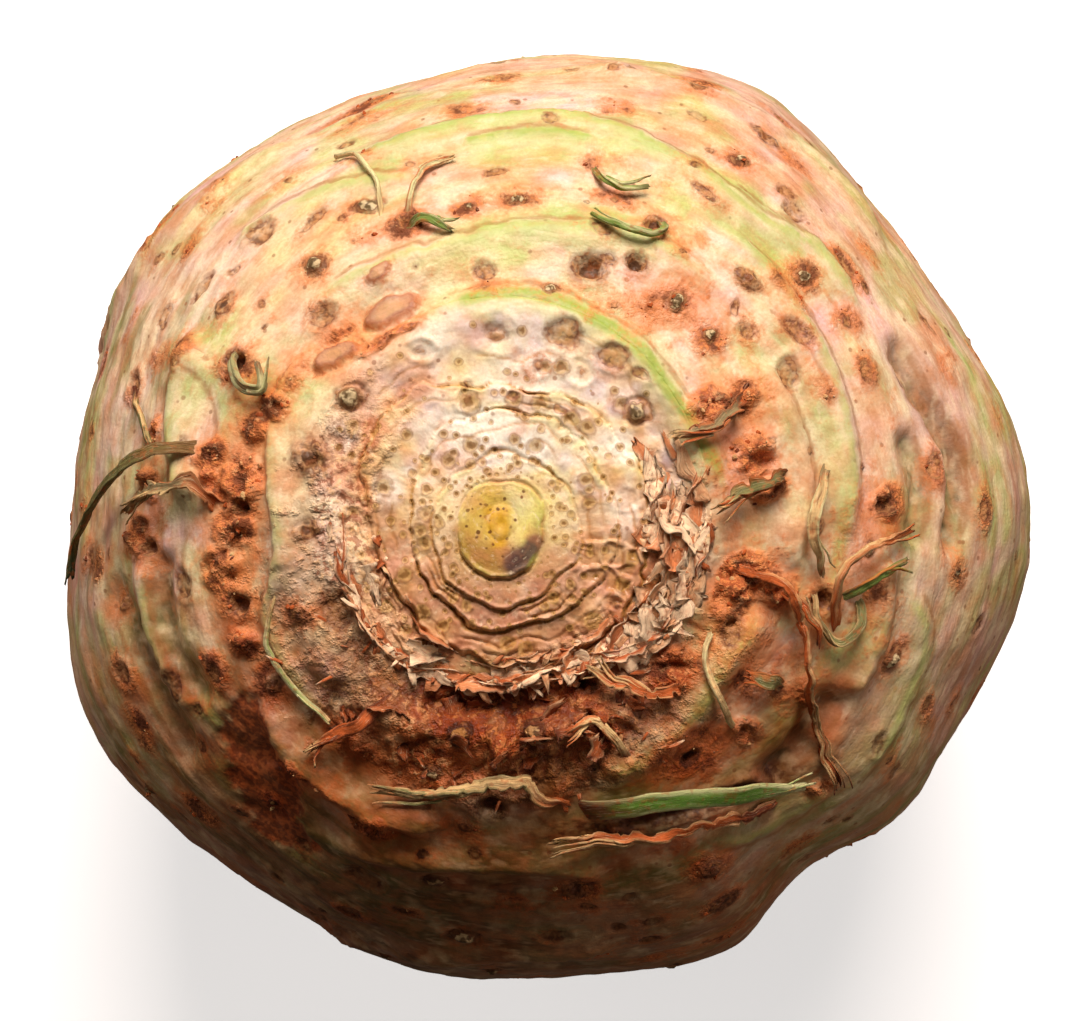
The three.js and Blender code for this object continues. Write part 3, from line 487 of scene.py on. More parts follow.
def layered(tone, *layers):
    """Blends colours into a tone one after another, each by its own amount per point."""
    for colour, amount in layers:
        tone = blend(tone, as_colour(colour), amount)
    return tone


def tinted(tone, tint, low, high):
    """Turns a tone from pinkish to yellowish: where the tint is high, blue falls and green rises a little."""
    return tone * np.stack([1 + 0 * tint, 1 + 0.03 * tint, np.clip(1 - 0.2 * tint, low, high)], axis=1)


CREAM, IVORY, YELLOW_GREEN = srgb(242, 208, 172), srgb(254, 234, 214), srgb(186, 200, 122)
LIME, OLIVE, PINK_TAN = srgb(146, 186, 60), srgb(104, 108, 52), srgb(220, 174, 142)
RUST = srgb(178, 84, 32)
print("cream in linear light:", np.round(CREAM, 2))

# %% [markdown]
# ## Marks on the skin
#
# One function works out how far each point of the skin is raised or sunk, and a soft mask for each kind of mark.
# A mask is a distance to an edge and not a finished stain. The material adds fine noise to it and cuts it, so the
# stain's edge is crisp and ragged. The points are first shifted by noise, so that no mark is a true ellipse.

# %% Places of marks
PATCHES = [  # sunken brown skin: x, y, length, width, turn
    (-30, -25, 8, 9, 0), (-28.5, -31, 10, 12, 20), (-27, -37, 9, 6, -20),
]
STAINS = [  # skin that has dried and turned rusty: x, y, length, width, turn
    (27, 9, 9, 22, 0), (29, -9, 10, 18, -10), (-30.5, 3, 7, 36, 0), (21, 25, 12, 7, 30), (-9, -28, 26, 9, -5),
    (22, -27, 14, 9, 20), (-42, 0, 6, 20, -10), (43, -5, 14, 24, 0), (36, -16, 9, 14, -10), (12, 27, 8, 5, 0),
    (-20, 21, 12, 7, 25),
]


def ellipse_at(points, centre, normal, length, width, degrees, reach):
    """For points near an ellipse lying on the skin: which they are, and their distance in units of its edge.

    The ellipse's axes are the plan direction at that angle, laid into the skin, and the one square to it."""
    angle = np.radians(degrees)
    along = np.array([np.cos(angle), np.sin(angle), 0])
    along -= normal * (along @ normal)
    along /= np.linalg.norm(along)
    offset = points - centre
    near = np.flatnonzero(np.einsum("ij,ij->i", offset, offset) < (reach + max(length, width) / 2) ** 2)
    p = offset[near]
    e = np.hypot(p @ along / (length / 2), p @ np.cross(normal, along) / (width / 2))
    return near, e


def ellipse(points, x, y, length, width, degrees, reach):
    """The same for an ellipse given by its place in plan."""
    (centre,), (normal,), _, _ = above([(x, y)])
    return ellipse_at(points, centre, normal, length, width, degrees, reach)


def raise_to(mask, near, values):
    """Raises a mask to at least these values at the points that near picks."""
    mask[near] = np.maximum(mask[near], values)


def grain_of(polar, bearing):
    """A place on a narrow cylinder, so that noise on it is stretched round the crown."""
    angle = np.radians(bearing)
    return np.stack([17 * np.cos(angle), 17 * np.sin(angle), polar * 1.05], axis=1)


print(len(PATCHES), "sunken patches,", len(STAINS), "stains")

# %% Marks of ridges and scars
FULL_DEPTH_WIDTH = 2.2  # a narrower scar is shallower in proportion
DISC_DEPTHS = {"disc": 1.0, "ringed": 0.5, "faint": 0.3}


def mark_ridges(m, p, crumble):
    """A ridge is a bell across its line; it is green on its crest, pale beside it, and creased at its foot."""
    for line, rise, inside_width, outside_width, green in RIDGE_LINES:
        near, d, along, inside = near_line(p, line, 14)
        ends = smooth(0, 0.14, along) * smooth(1, 0.86, along)
        m["relief"][near] += rise * bell(d / np.where(inside, inside_width, outside_width)) * ends
        thread = bell(d / np.where(inside, 1.3, 0.8)) * ends * (rise > 0)
        wash = 0.5 * bell(d / np.where(inside, 6.0, 2.5)) * ends
        raise_to(m["green"], near, green * np.maximum(thread, wash))
        raise_to(m["pale"], near, 0.7 * bell((d - 1.5) / 0.6) * ends * inside * (rise > 0) * green)
        gap = np.abs(d - 1.1 * outside_width) + 3 * inside + 2 * (1 - ends)
        m["crease"][near] = np.minimum(m["crease"][near], gap)
        m["thread"][near] = np.minimum(m["thread"][near], d + 3 * (1 - green) + 2 * (1 - ends))
        # a sunk fold is painted darker along its furrow: painted shade
        if rise < 0:
            raise_to(m["furrow"], near, bell(d / 2.0) * ends * (0.85 + 0.4 * crumble[near]))


def mark_scars(m, points, p, crumble):
    """e is 0 in the middle of a scar and 1 on its edge; each kind cuts or raises the skin by steps of e."""
    for centre, normal, length, width, degrees, rust, kind in SCAR_PLACES:
        near, e = ellipse_at(p, centre, normal, length, width, degrees, 7.0)
        if not len(near):
            continue
        beyond = np.maximum(e - 1, 0) * (length + width) / 4
        lobe = 0.75 + 0.5 * noise(points[near], 2.6, 81)
        spread = 1.0 if kind == "cork" else 0.6 + 1.5 * rust
        raise_to(m["rust"], near, rust * lobe * bell(beyond / spread))
        m["halo"][near] += 0.55 * rust * bell(beyond / (1.0 + 2.2 * rust))
        relief = 0
        if kind in DISC_DEPTHS:
            deep = DISC_DEPTHS[kind]
            raise_to(m["disc"], near, 1 - e - 1 + deep)
            relief = 0.2 * bell((e - 1.25) / 0.3) - 0.3 * deep * smooth(1.05, 0.7, e)
            if kind == "ringed":
                relief = relief + 0.12 * np.cos(8 * e) * smooth(1.3, 1.0, e)
        elif kind == "pit":
            raise_to(m["disc"], near, 1.25 - e)
            raise_to(m["core"], near, 0.8 - e)
            relief = 0.25 * bell((e - 1.3) / 0.3) - 1.4 * smooth(1.05, 0.45, e)
        elif kind == "dark":
            raise_to(m["disc"], near, 1.1 - e)
            raise_to(m["core"], near, 0.55 - e)
            relief = 0.55 * smooth(1.3, 0.7, e) * (0.4 + crumble[near])
        elif kind == "plug":
            raise_to(m["disc"], near, 1.35 - e)
            raise_to(m["plug"], near, 0.75 - e)
            relief = 0.8 * smooth(0.95, 0.4, e) - 0.3 * bell((e - 1.15) / 0.25)
        elif kind == "plate":
            raise_to(m["plate"], near, 1 - e)
            relief = 0.6 * smooth(1.15, 0.85, e) - 0.3 * bell((e - 1.25) / 0.15) + 0.1 * np.cos(7 * e) * (e < 1)
        elif kind == "cork":
            raise_to(m["cork"], near, rust * smooth(1.5, 0.5, e))
            relief = smooth(1.4, 0.7, e) * (0.35 + 1.0 * crumble[near]) - 0.25 * smooth(0.45, 0.1, e)
        m["relief"][near] += relief * min(1, width / FULL_DEPTH_WIDTH)


print(len(DISC_DEPTHS), "kinds of flat scar")

# %% All marks
def marks(points, polar, bearing, fine=1.0):
    """The skin's relief in mm and its masks, at points of the plain body."""
    names = "relief disc core plug plate rust halo cork green pale brown grime furrow crease thread".split()
    starts = {"disc": -1.0, "core": -1.0, "plug": -1.0, "plate": -1.0, "crease": 3.0, "thread": 3.0}
    m = {name: np.full(len(points), starts.get(name, 0.0)) for name in names}
    radius = np.hypot(points[:, 0], points[:, 1])
    warp = np.stack([noise(points, 1.7, 60 + n, 2) for n in range(3)], axis=1)
    p = points + 0.32 * warp
    crumble = noise(points, 1.5, 70, 3)
    mark_ridges(m, p, crumble)
    mark_scars(m, points, p, crumble)

    for x, y, length, width, degrees in STAINS:
        near, e = ellipse(points + 1.5 * warp, x, y, length, width, degrees, 6.0)
        there = smooth(1.4, 0.5, e + 0.5 * crumble[near])
        raise_to(m["rust"], near, 0.42 * there)
        m["halo"][near] += 0.3 * there

    for x, y, length, width, degrees in PATCHES:
        near, e = ellipse(points + 1.1 * warp, x, y, length, width, degrees, 6.0)
        raise_to(m["brown"], near, smooth(1.5, 0.7, e))
        m["relief"][near] -= 0.6 * smooth(1.3, 0.8, e)

    # the terrace is the torn, rusty ground below the crown; the scruffy area on the left is like it
    beyond_rim = smooth(rim(bearing) - 1, rim(bearing) + 2, radius)
    terrace = torn(bearing) * beyond_rim * smooth(37, 27, radius + 3 * warp[:, 0]) * (polar < 90)
    left = bell(turn(bearing, 184) / 42) * smooth(12, 16, radius) * smooth(26, 22, radius + 2 * warp[:, 0])
    left *= 0.5 + 0.8 * crumble
    m["terrace"], m["scruff"] = terrace, np.clip(np.maximum(terrace * (0.8 + 0.4 * warp[:, 2]), left), 0, 1)
    raise_to(m["rust"], ..., terrace * (0.4 + 0.55 * noise(points, 4.0, 83, 2)))
    # darker towards the bottom and the lower left, less on the right, strongest on the terrace: painted shade,
    # partly grime
    y = points[:, 1] + 5 * warp[:, 1]
    m["grime"] = np.maximum(0.95 * terrace, 0.85 * smooth(-6, -24, y) * smooth(62, 40, radius))
    m["grime"] = np.maximum(m["grime"], 0.6 * smooth(-26, -40, y)) * (0.85 + 0.35 * noise(points, 6.0, 84, 2))
    m["grime"] *= 1 - 0.8 * smooth(30, 50, points[:, 0])
    torn_skin = noise(points, 3.4, 71, 2)
    m["relief"] += terrace * (0.7 * torn_skin - 0.6 * smooth(0.3, 0.0, np.abs(torn_skin)) + 0.35 * crumble)
    m["relief"] += 0.2 * m["cork"] * crumble + 0.35 * m["scruff"] * noise(points, 1.3, 73, 2)
    raise_to(m["scruff"], ..., 0.3 * m["cork"])
    raise_to(m["rust"], ..., m["cork"])
    m["halo"] = np.clip(np.maximum(m["halo"], 1.1 * m["cork"]), 0, 1.2)
    grain = grain_of(polar, bearing)
    streaks = noise(grain, 1.1, 74, 3) + 1.6 * noise(grain * [0.5, 0.5, 1], 2.8, 76, 2) * smooth(24, 40, radius)
    m["relief"] += fine * (0.2 * noise(points, 5.0, 75) + 0.1 * noise(points, 2.4, 72, 2))
    m["relief"] += 0.12 * fine * streaks * smooth(3, 14, radius)
    return m


print("masks:", ", ".join(marks(plain_points([0.0, 60.0], 0.0), np.array([0.0, 60.0]), np.zeros(2))))

# %% [markdown]
# ## Swellings underneath
#
# Below its widest level the root is gnarled: side roots grew out of swollen knobs, and were trimmed off.
# The knobs are spread by the golden angle, which leaves no rows, and the highest knob at a point wins, so
# that furrows stay between them.

# %% Lumps and knobs
KNOBS, KNOB_FROM, KNOB_TO, KNOB_RADIUS, KNOB_RISE = 34, 104.0, 158.0, 6.5, 3.4


def seeded(seed):
    """The solid's own rule for random numbers: the last one times a constant, plus a constant, wrapped."""
    state = seed
    while True:
        state = (state * 1664525 + 1013904223) % 4294967296
        yield state / 4294967296


def lump_relief(p, polar):
    """Three products of slow waves."""
    x, y, z = p.T
    waves = (
        np.sin(x * 0.11 + y * 0.05 + 1.3) * np.cos(z * 0.1 - y * 0.07)
        + 0.6 * np.sin(y * 0.19 - z * 0.12 + 0.4) * np.cos(x * 0.17 + 2.1)
        + 0.4 * np.sin(x * 0.31 + z * 0.27) * np.sin(y * 0.29 + 0.8)
    )
    return waves * (0.35 * smooth(20, 60, polar) + 0.9 * smooth(95, 130, polar))


draw = seeded(5)
KNOB_LIST = []
for n in range(KNOBS):
    size = 0.6 + 0.6 * next(draw)
    knob_polar = KNOB_FROM + (KNOB_TO - KNOB_FROM) * (n + 0.5) / KNOBS
    KNOB_LIST.append((plain_points(knob_polar, n * GOLDEN_TURN + 24 * next(draw)), size))


def knob_relief(p, polar):
    """The highest of the knobs at each point, each a bell round its centre, on the lower half alone."""
    highest = np.zeros(len(p))
    for centre, size in KNOB_LIST:
        d = np.linalg.norm(p - centre, axis=1)
        highest = np.maximum(highest, size * bell((d / (size * KNOB_RADIUS)) ** 1.5))
    return (highest - 0.3) * KNOB_RISE * smooth(96, 112, polar) * smooth(172, 152, polar)


print(len(KNOB_LIST), "knobs")

# %% [markdown]
# ## Closed meshes
#
# Each piece is a closed surface made of rings of points. A ring may have half as many points as its neighbour, so
# a grid can be fine where it is seen and coarse where it isn't. Every surface closes in one point at each end.
# Masks and tones go along as named values, which the materials read.

# %% Mesh helpers
def ring_faces(start, count, next_start, next_count):
    """Faces between two rings of points: quads for equal rings, three triangles a step for a halving."""
    low = min(count, next_count)
    j = np.arange(low)
    k = (j + 1) % low
    if count == next_count:
        return np.stack([start + j, next_start + j, next_start + k, start + k], axis=1).tolist()
    big, small = (start, next_start) if count > next_count else (next_start, start)
    a, b, c = big + 2 * j, big + 2 * j + 1, big + (2 * j + 2) % (2 * low)
    p, q = small + j, small + k
    triangles = np.concatenate([np.stack(t, axis=1) for t in ((p, a, b), (p, b, q), (q, b, c))])
    return (triangles if big == next_start else triangles[:, ::-1]).tolist()


def closed_faces(counts):
    """Faces of a closed surface: a fan round the first point, strips between rings, a fan round the last."""
    starts = [1]
    for count in counts:
        starts.append(starts[-1] + count)
    faces = [[0, 1 + j, 1 + (j + 1) % counts[0]] for j in range(counts[0])]
    for n in range(len(counts) - 1):
        faces += ring_faces(starts[n], counts[n], starts[n + 1], counts[n + 1])
    last, end, around = starts[-2], starts[-1], counts[-1]
    return faces + [[end, last + (j + 1) % around, last + j] for j in range(around)]


POINT_VALUES = {"tone": ("FLOAT_COLOR", "color"), "grain": ("FLOAT_VECTOR", "vector")}  # all others are numbers


def make_piece(name, points, faces, attributes):
    """A mesh object from points in mm, with a smooth surface and named values on every point.

    It rides on the root's body and stands for the solid, which it hides."""
    mesh = bpy.data.meshes.new(name)
    mesh.from_pydata(np.asarray(points) * MM, [], faces)
    mesh.shade_smooth()
    for key, values in attributes.items():
        values = np.asarray(values, np.float32)
        kind, field = POINT_VALUES.get(key, ("FLOAT", "value"))
        if key == "tone":
            values = np.column_stack([values, np.ones(len(values), np.float32)])
        mesh.attributes.new(key, kind, "POINT").data.foreach_set(field, values.ravel())
    piece = add_object(name, mesh)
    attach(piece, "root")
    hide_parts(NODE)
    print(name + ":", len(mesh.vertices), "points,", sum(len(f) - 2 for f in faces), "triangles")
    return piece


print("faces of a tube of 3 rings of 4 points:", len(closed_faces([4] * 3)))

# %% [markdown]
# ## Tones of the skin
#
# The skin is cream where it is young, green where light reached it, and pinkish tan on its shoulders. Noise on a
# narrow cylinder draws these tones out round the crown, as the skin grew. They change slowly enough for the mesh's
# points, and the material adds what is finer.

# %% Skin tones
def skin_tone(points, polar, bearing, m):
    """The skin's slow changes of colour before any stain: cream, greener, pinker and earthier places, and painted
    shade.
    """
    x, y, z = points.T
    radius = np.hypot(x, y)
    slow, mid = noise(points, 22, 90, 2), noise(points, 8, 91, 2)
    grain = grain_of(polar, bearing) * [0.5, 0.5, 1]
    wide, narrow = noise(grain, 3.4, 93, 2), noise(grain, 1.3, 94, 2)
    around = smooth(20, 40, radius)
    folds = noise(grain, 1.9, 82, 2) * smooth(10, -25, x + y)
    lower = smooth(4, -30, y + 4 * mid)
    below = smooth(-22, -28, y + 3 * mid) * smooth(14, -2, x)
    terrace, torn_skin = m["terrace"], noise(points, 3.4, 71, 2)
    tone = layered(
        np.tile(CREAM, (len(points), 1)),
        (IVORY, 0.5 + 0.5 * mid),
        (YELLOW_GREEN, 0.22 + 0.5 * slow + 0.3 * mid + 0.9 * wide * around + 0.4 * m["green"]),
        (PINK_TAN, smooth(46, 60, radius + 4 * mid) * (0.4 + 0.3 * smooth(0, 40, x) - 0.8 * wide)),
        ((200, 144, 102), 0.5 * around * smooth(0.1, 0.8, narrow - 0.5 * wide)),
        ((250, 232, 186), 0.5 * around * smooth(0.1, 0.8, -narrow)),
        ((248, 204, 182), 0.5 * smooth(0.0, 0.6, noise(points, 5.0, 99, 2))),
        ((180, 196, 104), 0.55 * smooth(0.05, 0.6, noise(points, 7.0, 88, 3)) * around),
        ((140, 136, 66), 0.6 * around * smooth(0.12, 0.5, folds)),
    )
    return layered(
        tinted(tone, 0.6 * wide + 0.9 * noise(points, 6.5, 87, 3), 0.5, 1.4),
        ((228, 150, 100), 0.45 * smooth(0.4, 1.0, noise(points, 6.0, 96, 3))),
        # browner towards the bottom: painted shade, partly the skin's own colour
        ((178, 128, 86), 0.5 * lower * (0.8 + 0.5 * slow + 0.3 * mid - 0.5 * wide)),
        ((212, 112, 52), 0.6 * smooth(20, -15, y) * smooth(0.3, 0.9, noise(points, 5.0, 95, 3))),
        # darker olive-brown along sunk furrows: painted shade
        ((98, 80, 44), 0.9 * m["furrow"]),
        # olive and brown low on the left: painted shade, partly the skin's own colour
        ((112, 104, 46), 0.65 * below * smooth(-0.1, 0.4, folds + 0.5 * slow)),
        ((128, 66, 34), 0.55 * below * smooth(0.0, 0.5, noise(points, 4.0, 79, 3))),
        ((132, 70, 30), 0.92 * terrace * (0.8 + 0.3 * mid)),
        # on the terrace the raised torn skin is paler and its folds darker, following its relief: partly dried
        # tissue, partly painted light and shade
        ((214, 156, 100), 0.5 * terrace * smooth(0.25, 0.7, torn_skin)),
        ((84, 40, 20), 0.85 * terrace * smooth(0.24, 0.0, np.abs(torn_skin))),
        # darkest just outside the crown's rim, below its torn edge: painted shadow
        ((84, 44, 20), 0.85 * terrace * smooth(28, 21, radius)),
        # olive and dark brown towards the bottom and the lower left: painted shade, partly the skin's own colour
        (OLIVE, 0.45 * smooth(-15, -45, y) * (0.4 + 1.2 * wide)),
        ((96, 50, 26), 0.45 * smooth(-30, -52, y + 5 * mid) * smooth(46, 15, x)),
        (PINK_TAN * 0.8, 0.75 * smooth(60, 35, z + 6 * mid)),
        (RUST * 0.6, 0.45 * smooth(40, 10, z + 10 * mid)),
    )


# %% [markdown]
# ## The skin as a mesh
#
# The skin is a grid of two angles on the plain body, moved along its normals by the relief. Its rings are closer
# on the upper half. It closes under the crown, which has a finer grid, and at the bottom, where nothing may hang
# below the trimmed flat spot.

# %% Skin mesh
ROUND, UPPER_RINGS, LOWER_RINGS = 600, 130, 66
UNDER_CROWN = 3.4  # how far the fine part of the grid reaches in under the crown, in mm


def skin_rings():
    """The bearings and polar angles of each ring, from the middle of the crown down."""
    fine, half, quarter = (np.arange(ROUND // part) * 360 / (ROUND // part) for part in (1, 2, 4))
    for share in (0.2, 0.4, 0.6, 0.8):
        yield quarter, polar_at(share * (rim(quarter) - 4), quarter)
    yield half, polar_at(rim(half) - 4, half)
    edge = polar_at(rim(fine) - UNDER_CROWN, fine)
    for n in range(UPPER_RINGS + 1):
        yield fine, edge + (90 - edge) * (n / UPPER_RINGS) ** 1.15
    for polar in np.linspace(90.8, 168, LOWER_RINGS):
        yield half, np.full(len(half), polar)
    for polar in (171.0, 174.0, 177.0):
        yield quarter, np.full(len(quarter), polar)


ring_bearings, ring_polars = zip(*skin_rings())
bearings = np.concatenate([[0], *ring_bearings, [0]])
polars = np.concatenate([[0], *ring_polars, [180]])

plain = plain_points(polars, bearings)
normals = plain_normals(polars, bearings)
skin_marks = marks(plain, polars, bearings)
plan_radius = np.hypot(plain[:, 0], plain[:, 1])
top = polars < 90
under = smooth(176, 160, polars)
relief = skin_marks["relief"] + (lump_relief(plain, polars) + knob_relief(plain, polars)) * under
relief += drop_relief(plan_radius, bearings) * top
relief -= 2.6 * smooth(rim(bearings) - 0.2, rim(bearings) - 1.8, plan_radius) * top
skin_points = plain + normals * relief[:, None]
skin_points[:, 2] = np.maximum(skin_points[:, 2], 0)

NOT_SHADED = ("relief", "terrace", "furrow", "cork")
skin_values = {key: value for key, value in skin_marks.items() if key not in NOT_SHADED}
skin_values["tone"] = skin_tone(plain, polars, bearings, skin_marks)
skin_values["grain"] = grain_of(polars, bearings)
skin = make_piece("root_skin", skin_points, closed_faces([len(b) for b in ring_bearings]), skin_values)

# %% [markdown]
# ## Writing node trees
#
# A material is a tree of small nodes. `Wires` adds one node for each call and joins it to what it is given, so a
# material reads like a calculation. Four groups hold the effects that several materials share.

# %% Node helper
class Wires:
    """Adds nodes to a tree. Any input may be a number, a colour or another node's output."""

    def __init__(self, tree):
        self.tree = tree

    def fill(self, node, inputs):
        """Joins sockets to a node's inputs and sets the ones that are given as values."""
        for key, value in inputs.items():
            if isinstance(value, bpy.types.NodeSocket):
                self.tree.links.new(value, node.inputs[key])
            else:
                node.inputs[key].default_value = value
        return node.outputs

    def add(self, kind, inputs=None, out=0, **settings):
        node = self.tree.nodes.new("ShaderNode" + kind)
        for key, value in settings.items():
            setattr(node, key, value)
        return self.fill(node, inputs or {})[out]

    def group(self, tree, inputs):
        node = self.tree.nodes.new("ShaderNodeGroup")
        node.node_tree = tree
        return self.fill(node, inputs)

    def named(self, name, out="Fac"):
        return self.add("Attribute", out=out, attribute_name=name)

    def math(self, operation, a, b=0.0, clamp=False):
        return self.add("Math", {0: a, 1: b}, operation=operation, use_clamp=clamp)

    def plus(self, a, b):
        return self.math("ADD", a, b)

    def times(self, a, b):
        return self.math("MULTIPLY", a, b)

    def centred(self, value, amount):
        """A noise from 0 to 1, moved to lie round 0, and scaled."""
        return self.times(self.math("SUBTRACT", value, 0.5), amount)

    def step(self, value, start, end, high=1.0, low=0.0):
        inputs = {"Value": value, "From Min": start, "From Max": end, "To Min": low, "To Max": high}
        return self.add("MapRange", inputs, interpolation_type="SMOOTHSTEP")

    def mix(self, amount, a, b, how="MIX"):
        a, b = (v if isinstance(v, bpy.types.NodeSocket) else (*as_colour(v), 1.0) for v in (a, b))
        return self.add("Mix", {0: amount, 6: a, 7: b}, out=2, data_type="RGBA", blend_type=how)

    def films(self, colour, *films):
        """Lays colours over one another, each by its own amount."""
        for amount, film in films:
            colour = self.mix(amount, colour, film)
        return colour

    def noise(self, vector, scale, detail, roughness=0.55, distortion=0.0):
        inputs = {"Vector": vector, "Scale": scale, "Detail": detail, "Roughness": roughness}
        return self.add("TexNoise", {**inputs, "Distortion": distortion})

    def cells(self, vector, scale):
        return self.add("TexVoronoi", {"Vector": vector, "Scale": scale}, out="Distance")

    def bump(self, height, distance, strength):
        return self.add("Bump", {"Height": height, "Distance": distance, "Strength": strength})


SOCKET_KINDS = {"Colour": "Color", "Vector": "Vector", "Grain": "Vector"}  # all others are plain values


def new_group(name, inputs, outputs):
    """An empty shader group with sockets of these names, and the wires to fill it."""
    tree = bpy.data.node_groups.new(name, "ShaderNodeTree")
    for side, labels in (("INPUT", inputs), ("OUTPUT", outputs)):
        for label in labels.split():
            kind = "NodeSocket" + SOCKET_KINDS.get(label, "Float")
            tree.interface.new_socket(label, in_out=side, socket_type=kind)
    source, sink = tree.nodes.new("NodeGroupInput"), tree.nodes.new("NodeGroupOutput")
    return tree, Wires(tree), source.outputs, sink


def new_material(name):
    """A material, the wires to fill its tree, and its surface shader."""
    material = bpy.data.materials.new(name)
    material.use_nodes = True
    return material, Wires(material.node_tree), material.node_tree.nodes["Principled BSDF"]


print("wires can add:", ", ".join(name for name in vars(Wires) if name[0] != "_"))

# %% [markdown]
# ## A mark with a ragged edge
#
# Torn, dried and healed skin has no clean edges. A mask rises towards the middle of a mark, and fine noise is
# added before it is cut, so that the cut wanders. How close the sum is to the cut gives a thin outline, where the
# real mark is often darkest.

# %% Group: ragged mark
ragged, w, given, gives = new_group("ragged mark", "Mask Noise Raggedness Softness Width", "Inside Outline")
edge = w.plus(given["Mask"], w.centred(given["Noise"], given["Raggedness"]))
closeness = w.math("DIVIDE", w.math("ABSOLUTE", edge), given["Width"])
outlined = w.math("SUBTRACT", 1.0, closeness, clamp=True)
w.fill(gives, {"Inside": w.step(edge, 0.0, given["Softness"]), "Outline": outlined})

# %% [markdown]
# ## Crumbling cork
#
# Where the skin was hurt it grew cork, which dries to an orange-brown crust over a paler stain. Two sizes
# of noise break the mask: the stain is what passes a low cut, and the crust what passes a higher one.

# %% Group: crumbling cork
cork_group, w, given, gives = new_group("crumbling cork", "Mask Vector", "Stain Crust Colour Height")
broad = w.noise(given["Vector"], 420.0, 2.0, 0.6)
fine = w.noise(given["Vector"], 1700.0, 2.0, 0.65)
wavering = w.plus(w.plus(given["Mask"], w.centred(broad, 0.9)), w.centred(fine, 1.0))
# rust, darker where the fine noise that raises the crust is low and paler where it is high: painted shade in its
# pits and painted highlight on its grains
rust_with_pit_shade = w.mix(w.step(fine, 0.4, 0.6), (152, 66, 28), (224, 138, 76))
w.fill(gives, {
    "Stain": w.step(wavering, 0.1, 0.7),
    "Crust": w.step(wavering, 0.45, 1.05),
    "Colour": w.mix(w.step(broad, 0.47, 0.6), rust_with_pit_shade, (92, 42, 22)),
    "Height": w.times(fine, w.step(given["Mask"], 0.2, 0.8)),
})

# %% [markdown]
# ## Torn tissue
#
# Beside the crown the tissue is torn into tiny flakes. Their tops have dried pale and carry a painted
# highlight, and the gaps hold rust and painted shade. One noise makes both, so that colour and height agree.

# %% Group: torn tissue
scruff_group, w, given, gives = new_group("scruffy tissue", "Colour Mask Vector", "Colour Height")
flakes = w.noise(given["Vector"], 850.0, 3.0, 0.68)
amount = w.step(w.plus(given["Mask"], w.centred(flakes, 0.8)), 0.15, 0.7)
colour = w.films(
    given["Colour"],
    # pale tops: dried tissue and painted highlight
    (w.times(amount, w.step(flakes, 0.52, 0.62, 0.6)), (250, 204, 150)),
    # dark gaps: rust and painted shade
    (w.times(amount, w.step(flakes, 0.5, 0.4, 0.7)), (144, 68, 28)),
)
w.fill(gives, {"Colour": colour, "Height": w.times(amount, flakes)})

# %% [markdown]
# ## Mottled flesh
#
# Under its marks the skin has long streaks, blotches a few millimetres wide, a fine grain and a few dark
# specks. The specks are the middles of cells round scattered points, and only some cells have one.

# %% Group: mottled flesh
mottle_group, w, given, gives = new_group("mottled flesh", "Colour Vector Grain Strength", "Colour Height")
streaks = w.noise(given["Grain"], 0.75, 2.0, 0.6)
blotches = w.noise(given["Vector"], 260.0, 2.0, 0.6)
grains = w.noise(given["Vector"], 2400.0, 1.0, 0.6)
colour = w.films(
    given["Colour"],
    (w.times(w.step(streaks, 0.48, 0.7), given["Strength"]), (206, 146, 98)),
    (w.step(streaks, 0.44, 0.3, 0.35), (254, 234, 196)),
    (w.times(w.step(blotches, 0.5, 0.72), given["Strength"]), (254, 234, 190)),
    (w.step(blotches, 0.5, 0.3, 0.4), (216, 146, 98)),
)
colour = w.mix(w.step(grains, 0.35, 0.65, 0.18), colour, (196, 150, 100), "MULTIPLY")
cells = w.cells(given["Vector"], 520.0)
speck = w.times(w.step(cells, 0.2, 0.1, 0.6), w.step(cells.node.outputs["Color"], 0.66, 0.68))
height = w.plus(w.times(streaks, 0.8), w.times(grains, 0.2))
w.fill(gives, {"Colour": w.mix(speck, colour, (134, 74, 36)), "Height": height})
print("groups:", [g.name for g in bpy.data.node_groups])

# %% [markdown]
# ## The skin's finish
#
# The skin is a thin, faintly waxy layer over pale flesh: a little shiny where it is whole, and dull where cork
# has broken through. Ridge lines, rust, brown patches and scars are laid over its tones in the order in which
# they lie on the real root, and painted shade on the lower side comes last. The crown has the same marks, so one
# function lays them for both.

# %% Skin material
def ragged_mark(w, name, noise, raggedness, softness, width):
    inputs = {"Mask": w.named(name), "Noise": noise, "Raggedness": raggedness}
    return w.group(ragged, {**inputs, "Softness": softness, "Width": width})


def new_flesh(name, strength):
    """A material with mottled flesh in the points' own tones, and the place that its noises read."""
    material, w, surface = new_material(name)
    place = w.add("TexCoord", out="Object")
    own = {"Colour": w.named("tone", "Color"), "Grain": w.named("grain", "Vector"), "Vector": place}
    return material, w, surface, place, w.group(mottle_group, {**own, "Strength": strength})


